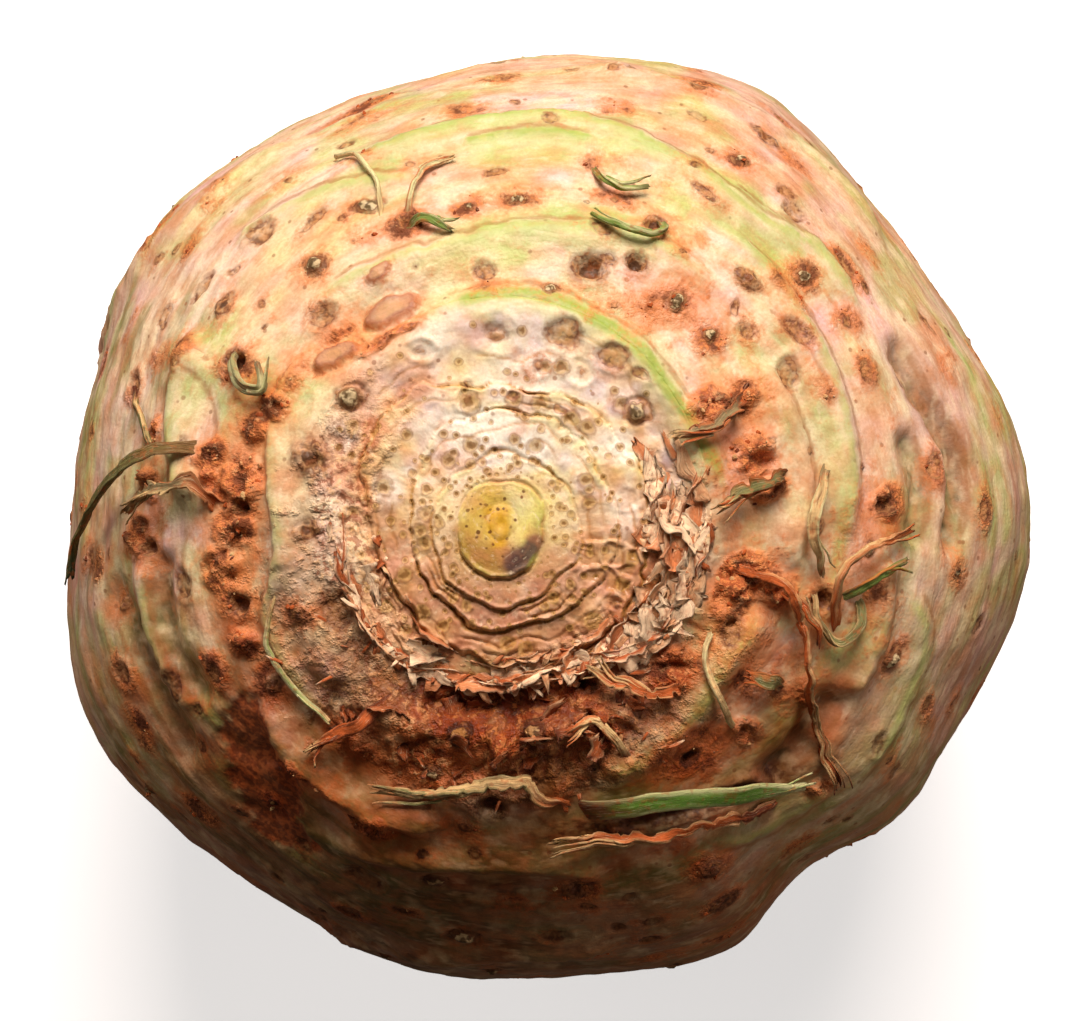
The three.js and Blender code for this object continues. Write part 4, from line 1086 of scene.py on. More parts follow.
def wear_marks(w, colour, place, scar_edge, scar_middle):
    """Lays ridge lines, rust, patches, scars and painted shade over a colour. Gives the new colour, heights and
    crust mask.
    """
    thin, grit = w.noise(place, 700.0, 2.0), w.noise(place, 1300.0, 1.0, 0.6)

    def worn(name, amount):
        return w.plus(w.named(name), w.centred(thin, amount))

    green = worn("green", 0.5)
    halo = w.plus(worn("halo", 1.0), w.centred(grit, 1.1))
    cork = w.group(cork_group, {"Mask": w.named("rust"), "Vector": place})
    colour = w.films(
        colour,
        (w.step(green, 0.12, 0.75, 0.6), YELLOW_GREEN),
        (w.step(green, 0.5, 1.1, 0.55), w.mix(w.step(thin, 0.4, 0.62), LIME, (194, 196, 90))),
        (w.step(worn("pale", 0.6), 0.25, 0.9, 0.35), (240, 228, 184)),
        (w.step(worn("thread", 0.9), 1.1, 0.2, 0.6), (150, 172, 62)),
        (w.step(worn("crease", 0.5), 0.6, 0.1, 0.55), (160, 100, 50)),
        (w.step(halo, 0.2, 1.2, 0.6), (226, 140, 80)),
        (w.times(cork["Stain"], 0.6), (218, 120, 58)),
        (w.times(cork["Crust"], 0.85), cork["Colour"]),
        (w.step(worn("brown", 0.9), 0.3, 0.8, 0.85),
         w.mix(w.step(grit, 0.4, 0.62), (134, 58, 30), (196, 108, 60))),
    )
    torn_tissue = w.group(scruff_group, {"Colour": colour, "Mask": w.named("scruff"), "Vector": place})

    plate, disc = ragged_mark(w, "plate", grit, 0.35, 0.15, 0.3), ragged_mark(w, "disc", grit, 0.6, 0.15, 0.25)
    core, plug = ragged_mark(w, "core", grit, 0.6, 0.25, 0.2), ragged_mark(w, "plug", grit, 0.7, 0.12, 0.25)
    patchy = w.step(thin, 0.38, 0.58, 1.0, 0.5)
    plate_cork = w.films(
        w.mix(w.step(w.named("plate"), 0.15, 0.6), (160, 106, 82), (200, 150, 104)),
        (w.step(thin, 0.4, 0.62, 0.6), (214, 160, 124)),
    )
    wood = w.films(
        w.mix(w.step(w.named("disc"), 0.2, 0.65), scar_edge, scar_middle),
        (w.step(grit, 0.45, 0.6, 0.6), (204, 150, 98)),
        (w.step(grit, 0.46, 0.36, 0.6), (84, 46, 28)),
        # scars turn near black where the lower side is darkened: painted shade, partly grime
        (w.times(w.named("grime"), 0.9), (52, 26, 14)),
    )
    colour = w.films(
        torn_tissue["Colour"],
        (w.times(plate["Inside"], 0.85), plate_cork),
        (w.times(plate["Outline"], 0.7), (176, 92, 46)),
        (w.times(disc["Inside"], w.times(patchy, 0.9)), wood),
        (w.times(disc["Outline"], w.times(patchy, 0.5)), (124, 70, 42)),
        (w.times(core["Inside"], 0.85), w.mix(w.step(thin, 0.42, 0.6), (60, 28, 14), (122, 66, 34))),
        (w.times(plug["Outline"], 0.7), (84, 44, 26)),
        (w.times(plug["Inside"], 0.9), w.mix(w.step(grit, 0.42, 0.6), (98, 80, 50), (210, 190, 146))),
    )
    # the colour is multiplied by a darker brown on the lower side and the terrace: painted shade, partly grime
    shaded = w.mix(1.0, colour, (200, 150, 104), "MULTIPLY")
    colour = w.mix(w.step(worn("grime", 0.6), 0.0, 1.1), colour, shaded)
    rough = w.times(w.step(w.named("disc"), 0.0, 0.4, 0.5), grit)
    height = w.plus(w.plus(cork["Height"], rough), w.times(torn_tissue["Height"], 1.6))
    return colour, height, cork["Crust"]


skin_finish, w, surface, place, flesh = new_flesh("celeriac skin", 0.45)
colour, mark_height, crust = wear_marks(w, flesh["Colour"], place, (112, 62, 36), (160, 108, 62))
height = w.plus(w.times(flesh["Height"], 0.6), mark_height)
w.fill(surface, {
    "Base Color": colour,
    "Roughness": w.step(crust, 0.0, 1.0, 0.85, 0.46),
    "Specular IOR Level": 0.28,
    "Normal": w.bump(height, 0.0006, 0.7),
})
skin.data.materials.append(skin_finish)
print("skin finish:", len(skin_finish.node_tree.nodes), "nodes")

# %% [markdown]
# ## The crown
#
# The cut leaf bases carry the finest detail: crevices a fifth of a millimetre wide, and dots where veins were
# cut. They get a piece with a closer grid, whose rim goes down into the skin like a plug. The chambers on one
# side are what is left of air channels: cells round scattered points, with a wall where two points are equally
# near. Veins stand in rows, as each leaf base brought its own.

# %% Chambers and veins
def chambers(x, y, size, seed):
    """How far a place is from the nearest wall between cells of this size: second distance minus first."""
    q = np.stack([x, y], axis=1) / size
    cell = np.floor(q).astype(np.int64)
    first, second = np.full(len(q), 9.0), np.full(len(q), 9.0)
    for i in (-1, 0, 1):
        for j in (-1, 0, 1):
            c = cell + (i, j)
            jitter = np.stack([lattice(c[:, 0], c[:, 1], 0, seed), lattice(c[:, 0], c[:, 1], 7, seed)], axis=1)
            d = np.linalg.norm(c + 0.5 + 0.42 * jitter - q, axis=1)
            second = np.minimum(second, np.maximum(first, d))
            first = np.minimum(first, d)
    return second - first


VEINS = [  # ring, share of the way across it, spacing, radius in mm
    (2, 0.25, 1.1, 0.26), (2, 0.55, 1.5, 0.4), (2, 0.85, 1.7, 0.5), (3, 0.42, 2.3, 0.75), (3, 0.85, 2.0, 0.4),
    (3, 0.1, 2.4, 0.3), (4, 0.5, 4.2, 0.95), (4, 0.12, 2.6, 0.4), (4, 0.85, 3.4, 0.4),
    (5, 0.3, 5.2, 0.8), (5, 0.1, 3.8, 0.35), (5, 0.6, 5.5, 0.5),
]


def vein_places():
    """Veins stand at even steps along a curve between two ring edges, each shifted a little by chance."""
    random = np.random.default_rng(12)
    for ring, share, spacing, size in VEINS:
        middle = float(np.mean(ring_edge(ring, np.arange(0, 360, 5))))
        count = int(2 * np.pi * middle / spacing)
        b = (np.arange(count) + 0.45 * random.uniform(-1, 1, count)) * 360 / count
        inner, outer = ring_edge(ring - 1, b) if ring else 0 * b, ring_edge(ring, b)
        r = inner + (outer - inner) * (share + 0.12 * random.uniform(-1, 1, count))
        sizes = size * random.uniform(0.4, 1.3, count)
        kept = random.random(count) < 0.8
        yield from zip((r * np.cos(np.radians(b)))[kept], (r * np.sin(np.radians(b)))[kept], sizes[kept])


print(len(list(vein_places())), "veins")

# %% [markdown]
# ## The crown's relief
#
# Between two edges lies a shelf, slightly domed. Each edge has a lip on its inner side and a crevice beyond it,
# deeper on the torn side. Outside, dried tissue is wrinkled: its noise is wrapped round the crown, and where that
# noise passes through zero there is a sharp fold.

# %% Crown relief
def crown_marks(p, radius, bearing):
    """Relief of the leaf bases in mm, and masks for crevices, veins and chambers."""
    t, waver = torn(bearing), noise(p, 3.1, 45, 2)
    relief, crevice, band, inner, lines, edges = np.zeros((6, len(p)))
    for n, (_, level, depth) in enumerate(RINGS):
        outer = ring_edge(n, bearing, p)
        inside = (radius >= inner) & (radius < outer)
        across = np.clip((radius - inner) / (outer - inner), 0, 1)
        band[inside] = n
        steps = n if n != 1 else across
        shelf = level + 0.22 * np.sin(np.pi * across) - 0.34 * steps * t + 0.3 * (n > 2) * waver
        if n == len(RINGS) - 1:  # away from the torn side the last leaf base runs into the skin
            shelf = shelf - (level + 0.3 * waver) * smooth(0.45, 1, across) * (1 - t)
            depth = depth * t
        relief += np.where(inside, shelf, 0)
        gap = depth * np.clip(0.28 + 0.75 * t + 0.6 * waver, 0.04, 2) * bell((radius - outer) / (0.16 + 0.12 * t))
        lip = (0.1 + 0.3 * t) * (n > 0) * bell((radius - outer + 0.35) / 0.25)
        relief += 0.12 * bell((radius - outer - 0.4) / 0.25) * (n > 0) + lip - gap
        crevice = np.maximum(crevice, gap)
        near_edge = bell((radius - outer + 0.2) / 0.9) * (n > 0)
        edges = np.maximum(edges, near_edge * smooth(-0.2, 0.4, noise(p, 3.0, 67 + n)))
        lines = np.maximum(lines, bell((radius - outer) / 0.16) * smooth(-0.3, 0.2, waver) * (n > 0))
        if n > 2:
            for part in (0.36, 0.7):
                d = radius - inner - part * (outer - inner) - 0.8 * noise(p, 5.0, 60 + n, 2)
                arc = bell(d / 0.16) * smooth(0.0, 0.3, noise(p, 6.0, 64 + n + int(9 * part)))
                lines = np.maximum(lines, arc)
                relief -= (0.12 + 0.3 * t) * arc
        inner = outer
    beyond = radius >= inner
    band[beyond] = len(RINGS) - 1
    relief += np.where(beyond, (RINGS[-1][1] - 1.1) * t, 0)

    cells = bell(turn(bearing, -16) / 38) * smooth(9.2, 10.5, radius) * smooth(17.5, 16.5, radius)
    cells *= smooth(-0.5, 0.1, noise(p, 3.6, 57))
    sx, sy = p[:, 0] + 0.7 * noise(p, 2.0, 55, 2), p[:, 1] + 0.7 * noise(p, 2.0, 56, 2)
    hollow = cells * smooth(0.08, 0.4, chambers(sx, sy, 2.3, 3)) * np.clip(1 - 2 * crevice, 0, 1)
    relief -= 0.4 * hollow
    paper = bell(turn(bearing, -10) / 30) * smooth(17, 19.5, radius)
    crusty = 0.6 * bell(turn(bearing, 184) / 46) * smooth(12.5, 16, radius)
    rough = np.maximum(smooth(12, 17, radius) * (0.06 + 0.94 * t), np.maximum(0.9 * paper, crusty))
    angle = np.radians(bearing)
    wrapped = np.stack([8 * np.cos(angle), 8 * np.sin(angle), 1.3 * radius], axis=1)
    wrinkles = noise(wrapped, 2.1, 46, 2)
    folds = smooth(0.2, 0.0, np.abs(wrinkles))
    dried = rough * (0.55 * wrinkles - 0.5 * folds + 0.25 * noise(p, 4.0, 49, 2))
    relief += dried + 0.9 * paper * noise(p, 3.4, 58, 2)
    relief += (0.04 + 0.04 * t) * noise(p, 0.8, 47, 2) * smooth(4, 9, radius)
    scruff = 0.7 * np.maximum(paper, t * smooth(13.5, 17, radius))
    scruff = np.maximum(scruff, 1.5 * crusty * smooth(12, 16, radius + 2 * waver))
    relief += scruff * (0.22 * noise(p, 1.2, 59, 2) + 0.1 * noise(p, 0.6, 69))

    veins = np.full(len(p), -1.0)
    for x, y, size in vein_places():
        near = np.flatnonzero((np.abs(p[:, 0] - x) < 2.5 * size) & (np.abs(p[:, 1] - y) < 2.5 * size))
        d = np.hypot(p[near, 0] - x, p[near, 1] - y) / size
        veins[near] = np.maximum(veins[near], 1 - d)
        rosette = (0.03 + 0.1 * torn(bearing[near])) * noise(p[near], 0.6, 68, 2) * smooth(1.3, 0.9, d)
        relief[near] += 0.04 * bell((d - 1) / 0.3) - 0.06 * smooth(0.8, 0.3, d) + rosette
    whorl = np.abs((radius + 0.7 * noise(p, 1.4, 44, 2) - bearing / 360) % 1.0 - 0.5)
    centre = smooth(3.4, 2.4, radius + 0.8 * waver) * smooth(-0.3, 0.3, waver)
    lines = np.maximum(lines, 0.45 * smooth(0.14, 0.02, whorl) * centre)
    speckled = smooth(5.4, 4.6, radius) * smooth(0.6, 1.4, radius)
    speckled *= smooth(2.4, 0.6, p[:, 0] - 0.7 * p[:, 1] * (p[:, 1] > 0))
    return {
        "relief": relief, "crevice": crevice, "veins": veins, "hollow": hollow, "band": band, "low": rough * folds,
        "lines": lines, "edges": edges, "scruff": scruff, "speckled": speckled,
    }


# %% [markdown]
# ## The crown's colours
#
# The growing point is yellow, the youngest bases greenish, and the older ones cream to white, with tan where the
# flesh has dried. From top to bottom the crown runs from white to tan and brown, partly its own colour and partly
# painted light and shade. Here and there it has gone pale or faintly lilac. These places are listed as ellipses,
# as the scars are, and the rest follows from rings, masks and noise.

# %% Crown colours
CORE_YELLOW, WHITE_FLESH, TAN_FLESH = srgb(230, 176, 24), srgb(255, 252, 236), srgb(198, 142, 106)
BAND_COLOURS = np.array([srgb(*c) for c in (
    (240, 216, 124), (238, 218, 134), (254, 230, 180), (252, 218, 170), (248, 206, 160), (252, 212, 164))])
PALE_PLACES = [  # x, y, length, width, turn
    (3, 17, 9, 6, 0), (-8, 22, 5, 4, 30), (-3, 11.5, 12, 4, 0), (4, 9, 6, 4, 0), (-18.5, 10.5, 4, 3, 20),
    (14, 9, 5, 3, -40), (14.5, 1.5, 3, 6, 0), (-13, 4, 3, 4, 0), (21, 1, 3, 3, 0),
]
LILAC_PLACES = [
    (-12.7, 1.4, 4, 4, 0), (-12.8, -4.2, 4, 5, 15), (-2.5, 22.5, 3, 4, 0), (-20, -8, 4, 7, 15),
    (-17, 1, 3, 4, 0), (11, 2, 2.5, 5, 0), (-17, 14, 4, 3, 20), (9, -4, 3, 3, 0),
]
BRUISE = (3.0, -3.0, 6.2, 3.2, 52)


def patch(p, place, reach, strength, start, end, shift):
    """An amount for every point: the strength inside an ellipse, fading across its edge, and 0 elsewhere."""
    near, e = ellipse(p, *place, reach)
    there = np.zeros(len(p))
    there[near] = strength * smooth(start, end, e + shift[near])
    return there


def crown_tone(p, radius, bearing, c):
    """A colour for each ring, then pale, lilac and tan places, and in the crevices brown flesh with painted shade.
    """
    x, y = p[:, 0], p[:, 1]
    shift = noise(p, 2.2, 92, 2)
    heights = y + 2 * shift
    rimming = 0.8 * bell((radius - ring_edge(1, bearing, p) + 0.4) / 0.6) * bell(turn(bearing, -40) / 75)
    second_edge = bell((radius - ring_edge(2, bearing, p) + 0.3) / 0.5)
    crusted = smooth(15, 19, radius + shift) * bell(turn(bearing, 175) / 55)
    rusty = bell((radius - ring_edge(4, bearing, p)) / 1.6) + 0.3 * shift
    dabs = smooth(0.1, 0.6, noise(p, 1.6, 89, 2))
    tone = layered(
        BAND_COLOURS[c["band"].astype(int)],
        ((246, 240, 186), 0.75 * bell(np.hypot(x - 2.6, y - 2.4) / 2.2)),
        ((222, 186, 66), 0.8 * smooth(4.2, 1.8, np.hypot(x + 1.2, 0.9 * (y - 0.2)) + 1.8 * shift)),
        # darker golden brown on the lower part of the core: painted shade, partly its own colour
        ((170, 116, 42), 0.8 * smooth(6.6, 5, radius) * smooth(-0.5, -3.8, y + 0.3 * x + 0.5 * shift)),
        (CORE_YELLOW, 0.85 * smooth(2.4, 1.0, np.hypot(x + 0.4, y + 0.3) + 1.2 * shift)),
        ((150, 172, 52), rimming),
        ((196, 196, 110), 0.5 * second_edge * smooth(-2, 4, y)),
        # whiter towards the top and tan towards the bottom, here and in the next lines: partly the flesh's own
        # colour, partly painted light and shade
        (WHITE_FLESH, (0.4 + 0.8 * shift) * smooth(-3, 8, heights) * smooth(5.5, 8, radius)),
        (YELLOW_GREEN, 0.25 * smooth(0.0, 0.7, noise(p, 5.0, 97, 2)) * smooth(9, 12, radius)),
        ((222, 158, 108), (0.2 + 0.4 * smooth(8, -4, y)) * dabs * smooth(6, 9, radius)),
        (WHITE_FLESH, 0.6 * smooth(4, 9, heights) * bell((x - 2) / 10) * smooth(5.5, 8, radius)),
        (TAN_FLESH, (0.8 * smooth(3, -8, heights) + 0.35 * shift) * smooth(5, 7, radius)),
    )
    return layered(
        tinted(tone, noise(p, 4.0, 86, 3) + 0.6 * noise(p, 1.5, 85, 2), 0.4, 1.6),
        ((226, 214, 126), 0.55 * c["edges"] * smooth(-6, 6, y + 3 * shift)),
        ((232, 160, 104), 0.5 * c["scruff"]),
        ((214, 134, 82), 0.78 * crusted * (0.8 + 0.4 * shift)),
        ((252, 224, 182), 0.5 * crusted * smooth(0.35, 0.7, noise(p, 1.3, 98, 3))),
        # browner on the lower outer bases: painted shade, partly dried flesh
        ((190, 112, 66), 0.55 * smooth(12, 19, radius + 2 * shift) * smooth(0, -8, y)),
        *((WHITE_FLESH, patch(p, place, 4.0, 0.85, 1.5, 0.5, 0.35 * shift)) for place in PALE_PLACES),
        *(((206, 146, 118), patch(p, place, 4.0, 0.4, 1.5, 0.5, 0.35 * shift)) for place in LILAC_PLACES),
        ((206, 158, 104), 0.55 * c["hollow"]),
        ((186, 130, 62), 0.65 * c["lines"]),
        # darker in the sharp folds of the dried tissue: painted shade
        ((150, 84, 46), 0.85 * c["low"]),
        ((196, 112, 56), 0.75 * bell(turn(bearing, 150) / 34) * smooth(0.5, 0.9, rusty)),
        ((84, 60, 66), patch(p, BRUISE, 3.0, 0.9, 1.25, 0.6, 0.6 * shift)),
        # browner where the crevices are deeper: partly browned flesh, partly painted shade
        ((198, 156, 76), 0.6 * smooth(0.04, 0.3, c["crevice"]) * smooth(4, 6, radius)),
        ((158, 92, 46), 0.75 * smooth(0.6, 1.5, c["crevice"])),
    )


print(len(PALE_PLACES), "pale and", len(LILAC_PLACES), "lilac places")

# %% [markdown]
# ## The crown as a mesh
#
# The grid follows the ring edges, so a crevice runs along a row of points. Outside the rim the rows go down the
# torn face, which noise makes jagged, and end inside the root. Towards the rim the crown's colours fade into the
# skin's own, except where the rim stands clear.

# %% Crown mesh
CROWN_ROUND, CROWN_STEP, SKIRT = 640, 0.17, 4.6  # points round the rim, mm between rings, depth of the torn face
MIDDLE_RADIUS, PLUG_DEPTH = 0.3, 1.1  # PLUG_DEPTH is in skirts
OUTSIDE = len(RINGS)

crown_rings = []  # points round the ring, leaf base, share of the way across it, depth in skirts
for n in range(OUTSIDE):
    inner = ring_edge(n - 1, np.arange(360)) if n else MIDDLE_RADIUS
    steps = int(float(np.mean(ring_edge(n, np.arange(360)) - inner)) / CROWN_STEP)
    around = CROWN_ROUND // (4 if n < 1 else 2 if n < 3 else 1)
    crown_rings += [(around, n, (i + 1) / steps, 0.0) for i in range(steps)]
crown_rings += [(CROWN_ROUND, OUTSIDE, 0.3 * d**0.5, d) for d in np.linspace(0.05, 1, 16)]
crown_rings += [(CROWN_ROUND, OUTSIDE, -0.9, 1.05), (CROWN_ROUND // 2, OUTSIDE, -3, PLUG_DEPTH)]
crown_rings.append((CROWN_ROUND // 4, OUTSIDE, -8, PLUG_DEPTH))

b_all, r_all, depth_all = [[0.0]], [[0.0]], [[0.0]]
for around, n, share, depth in crown_rings:
    b = np.arange(around) * 360 / around
    inner = ring_edge(n - 1, b) if n else MIDDLE_RADIUS
    r = rim(b) + share if n == OUTSIDE else inner + (ring_edge(n, b) - inner) * share
    b_all.append(b)
    r_all.append(r)
    depth_all.append(np.full(around, depth))
b_all, r_all, depth_all = (np.concatenate([*v, [0.0]]) for v in (b_all, r_all, depth_all))
depth_all[-1] = PLUG_DEPTH

crown_polar = polar_at(r_all, b_all)
crown_plain = plain_points(crown_polar, b_all)
c = crown_marks(crown_plain, r_all, b_all)
crown_skin = marks(crown_plain, crown_polar, b_all, fine=0.5)
crown_skin["green"] *= smooth(6, 1, rim(b_all) - r_all)
crown_points = crown_plain.copy()
crown_points[:, 2] += c["relief"] + crown_skin["relief"] * (depth_all == 0)
angle = np.radians(b_all)
outwards = np.stack([np.cos(angle), np.sin(angle), 0 * angle], axis=1)
crown_points[:, 2] -= SKIRT * depth_all
torn_face = (depth_all > 0) & (depth_all < 1.04)
down_face = crown_plain - np.array([0, 0, SKIRT]) * depth_all[:, None]
crown_points += outwards * (0.5 * torn_face * torn(b_all) * noise(down_face, 1.6, 48, 3))[:, None]

crown_values = {key: value for key, value in crown_skin.items() if key not in NOT_SHADED}
crown_values.update({key: c[key] for key in ("veins", "hollow", "scruff", "speckled")})
tone = crown_tone(crown_plain, r_all, b_all, c)
edge_blend = smooth(5.5, 0.5, rim(b_all) - r_all) * (1 - 0.85 * bell(turn(b_all, 85) / 50))
own_skin = skin_tone(crown_plain, crown_polar, b_all, crown_skin)
tone = tone * (1 - edge_blend[:, None]) + own_skin * edge_blend[:, None]
crown_values["tone"] = blend(tone, srgb(150, 92, 58), 0.6 * torn_face)
narrowed = smooth(0, 10, r_all)
crown_values["grain"] = grain_of(crown_polar, b_all) * np.stack([narrowed, narrowed, 1 + 0 * r_all], axis=1)
crown_faces = closed_faces([count for count, *_ in crown_rings])
crown = make_piece("leaf_base_crown", crown_points, crown_faces, crown_values)

# %% [markdown]
# ## The crown's finish
#
# Cut flesh is moister than skin, and its hollows are still wet. A vein is a ragged disc with a darker heart, and
# dark specks lie thickest round the growing point. The skin's scars and rust lie over the flesh here too, in
# paler colours.

# %% Crown material
crown_finish, w, surface, place, flesh = new_flesh("cut leaf bases", 0.16)
around_veins = w.noise(place, 900.0, 2.0, 0.6)
vein = ragged_mark(w, "veins", around_veins, 1.0, 0.3, 0.3)
heart = w.plus(w.named("veins"), w.centred(around_veins, 2.2))
cells = w.cells(place, 1500.0)
rarity = w.math("SUBTRACT", 0.9, w.times(w.named("speckled"), 0.55))
chosen = w.step(w.math("SUBTRACT", cells.node.outputs["Color"], rarity), 0.0, 0.3)
ragged_cells = w.plus(cells, w.centred(around_veins, 0.9))
colour = w.films(
    flesh["Colour"],
    (w.times(vein["Inside"], 0.65), (196, 154, 82)),
    (w.times(vein["Outline"], 0.6), (154, 102, 52)),
    (w.step(heart, 0.3, 0.75, 0.75), (134, 90, 40)),
    (w.times(w.step(ragged_cells, 0.42, 0.2, 0.9), chosen), (104, 62, 26)),
)
colour, mark_height, _ = wear_marks(w, colour, place, (158, 104, 76), (196, 150, 92))
height = w.plus(w.times(flesh["Height"], 0.5), mark_height)
w.fill(surface, {
    "Base Color": colour,
    "Roughness": w.step(w.named("hollow"), 0.2, 0.9, 0.22, 0.5),
    "Specular IOR Level": 0.32,
    "Normal": w.bump(height, 0.0004, 0.6),
})
crown.data.materials.append(crown_finish)
print("crown finish:", len(crown_finish.node_tree.nodes), "nodes")

# %% [markdown]
# ## Torn strips of stalk
#
# Knife and hands left strips of stalk on the root: fibrous bands, flat or rolled like a gutter, green where they
# are fresh and orange where they have dried. Each starts under the skin and runs through the same points as in
# the solid. Its end is ragged, because fibres tear at different lengths.

# %% Bands and threads
def skin_at(plan):
    """Points and normals of the finished skin over plan positions."""
    p, n, polar, bearing = above(plan)
    relief = marks(p, polar, bearing)["relief"] + lump_relief(p, polar)
    relief += drop_relief(np.hypot(p[:, 0], p[:, 1]), bearing)
    return p + n * relief[:, None], n


def band(line, up, width, thickness, curl=0.3, twist=0.0, ragged=1.0, ruffle=0.25, seed=0, around=18):
    """A closed fibrous band along a line. Gives its points, faces, share along it and angle round it.

    Round the section by angle a the surface stands at w/2 cos(a) to the side and at t/2 sin(a) upwards,
    plus curl * w/2 cos(a)^2, which rolls it into a gutter. Noise along the fibres roughens it, ruffle makes
    its width waver, and noise of a pushes the rows near the ends along the line. A strongly ruffled band is
    also torn: notches cut in from its sides wherever a noise along it passes through zero."""
    rows = len(line)
    s, a = np.meshgrid(np.linspace(0, 1, rows), np.arange(around) * 2 * np.pi / around, indexing="ij")

    def random_of(x, y, z, size, key, octaves=1):
        return noise(np.stack([x, y, z], axis=-1).reshape(-1, 3), size, key, octaves).reshape(a.shape)

    tangent = unit(np.gradient(line, axis=0))
    side = unit(np.cross(up, tangent))
    over = np.cross(tangent, side)
    run = s * np.linalg.norm(np.diff(line, axis=0), axis=1).sum()
    rough = ragged * random_of(np.cos(a) * width * 1.5 + 9 * seed, np.sin(a), run / 6, 0.7, 20 + seed, 2)
    edge = np.sign(np.cos(a))
    swell = random_of(run, edge * (ruffle > 0.3), 0 * s + 5 * seed, 3.0 if ruffle < 0.3 else 1.1, 21, 2)
    tears = smooth(0.16, 0.02, np.abs(random_of(run, edge, 7 * seed + 0 * s, 1.3, 26))) * (ruffle > 0.3)
    half = width / 2 * (1 + ruffle * swell) * (1 - 0.6 * tears) * (0.45 + 0.55 * smooth(1.0, 0.7, s))
    u = half * np.cos(a) * (1 + 0.3 * rough)
    v = thickness / 2 * np.sin(a) * (1 + 0.8 * rough) + curl * half * np.cos(a) ** 2
    spin = twist * s + 1.2 * ruffle * random_of(run, 0 * s, 0 * s + 3 * seed, 4.0, 23)
    u, v = u * np.cos(spin) - v * np.sin(spin), u * np.sin(spin) + v * np.cos(spin)
    push = ragged * width * random_of(3 * np.cos(a), 3 * np.sin(a), 0 * a + seed, 1.0, 22) * smooth(0.7, 1, s)
    points = line[:, None] + u[..., None] * side[:, None] + v[..., None] * over[:, None]
    points += push[..., None] * tangent[:, None]
    foot, tip = points[0].mean(axis=0), points[-1].mean(axis=0) - 0.3 * width * tangent[-1]
    faces = [face[:1] + face[:0:-1] for face in closed_faces([around] * rows)]
    return np.vstack([foot, points.reshape(-1, 3), tip]), faces, np.r_[0, s.ravel(), 1], np.r_[0, a.ravel(), 0]


def join_parts(parts):
    """One set of points, faces and values from many."""
    points, faces, values, offset = [], [], {}, 0
    for p, f, v in parts:
        points.append(p)
        faces += [[offset + i for i in face] for face in f]
        offset += len(p)
        for key, value in v.items():
            values.setdefault(key, []).append(value)
    return np.vstack(points), faces, {key: np.concatenate(value) for key, value in values.items()}


def band_values(s, a, length, width, colours, seed, crusted=0.7):
    """Colour from the foot to the tip, streaked along the fibres, and the grain that the material uses."""
    foot, middle, tip, edge = colours
    fibres = np.stack([np.cos(a) * width * 1.5 + 9 * seed, np.sin(a) * width, s * length / 5], axis=-1)
    streak = noise(fibres, 0.6, 30 + seed, 2)
    tone = layered(
        np.tile(middle, (len(s), 1)),
        (edge, 0.75 * smooth(0.55, 0.95, np.abs(np.cos(a)) + 0.25 * streak)),
        (foot, smooth(0.4, 0.0, s + 0.15 * streak)),
        (tip, smooth(0.78, 1.0, s + 0.12 * streak)),
        (ORANGE, crusted * smooth(0.35, 0.8, noise(fibres * [0.4, 0.4, 3] + 5, 1.0, 31, 3))),
    )
    grain = [9 * seed + width * 2 * np.cos(a), width * 2 * np.sin(a), s * length / 4]
    return {"tone": tone * (1 + 0.35 * streak)[:, None], "grain": np.stack(grain, axis=1)}


def coloured(shape, *colouring):
    """A band's points, faces and values."""
    points, faces, s, a = shape
    return points, faces, band_values(s, a, *colouring)


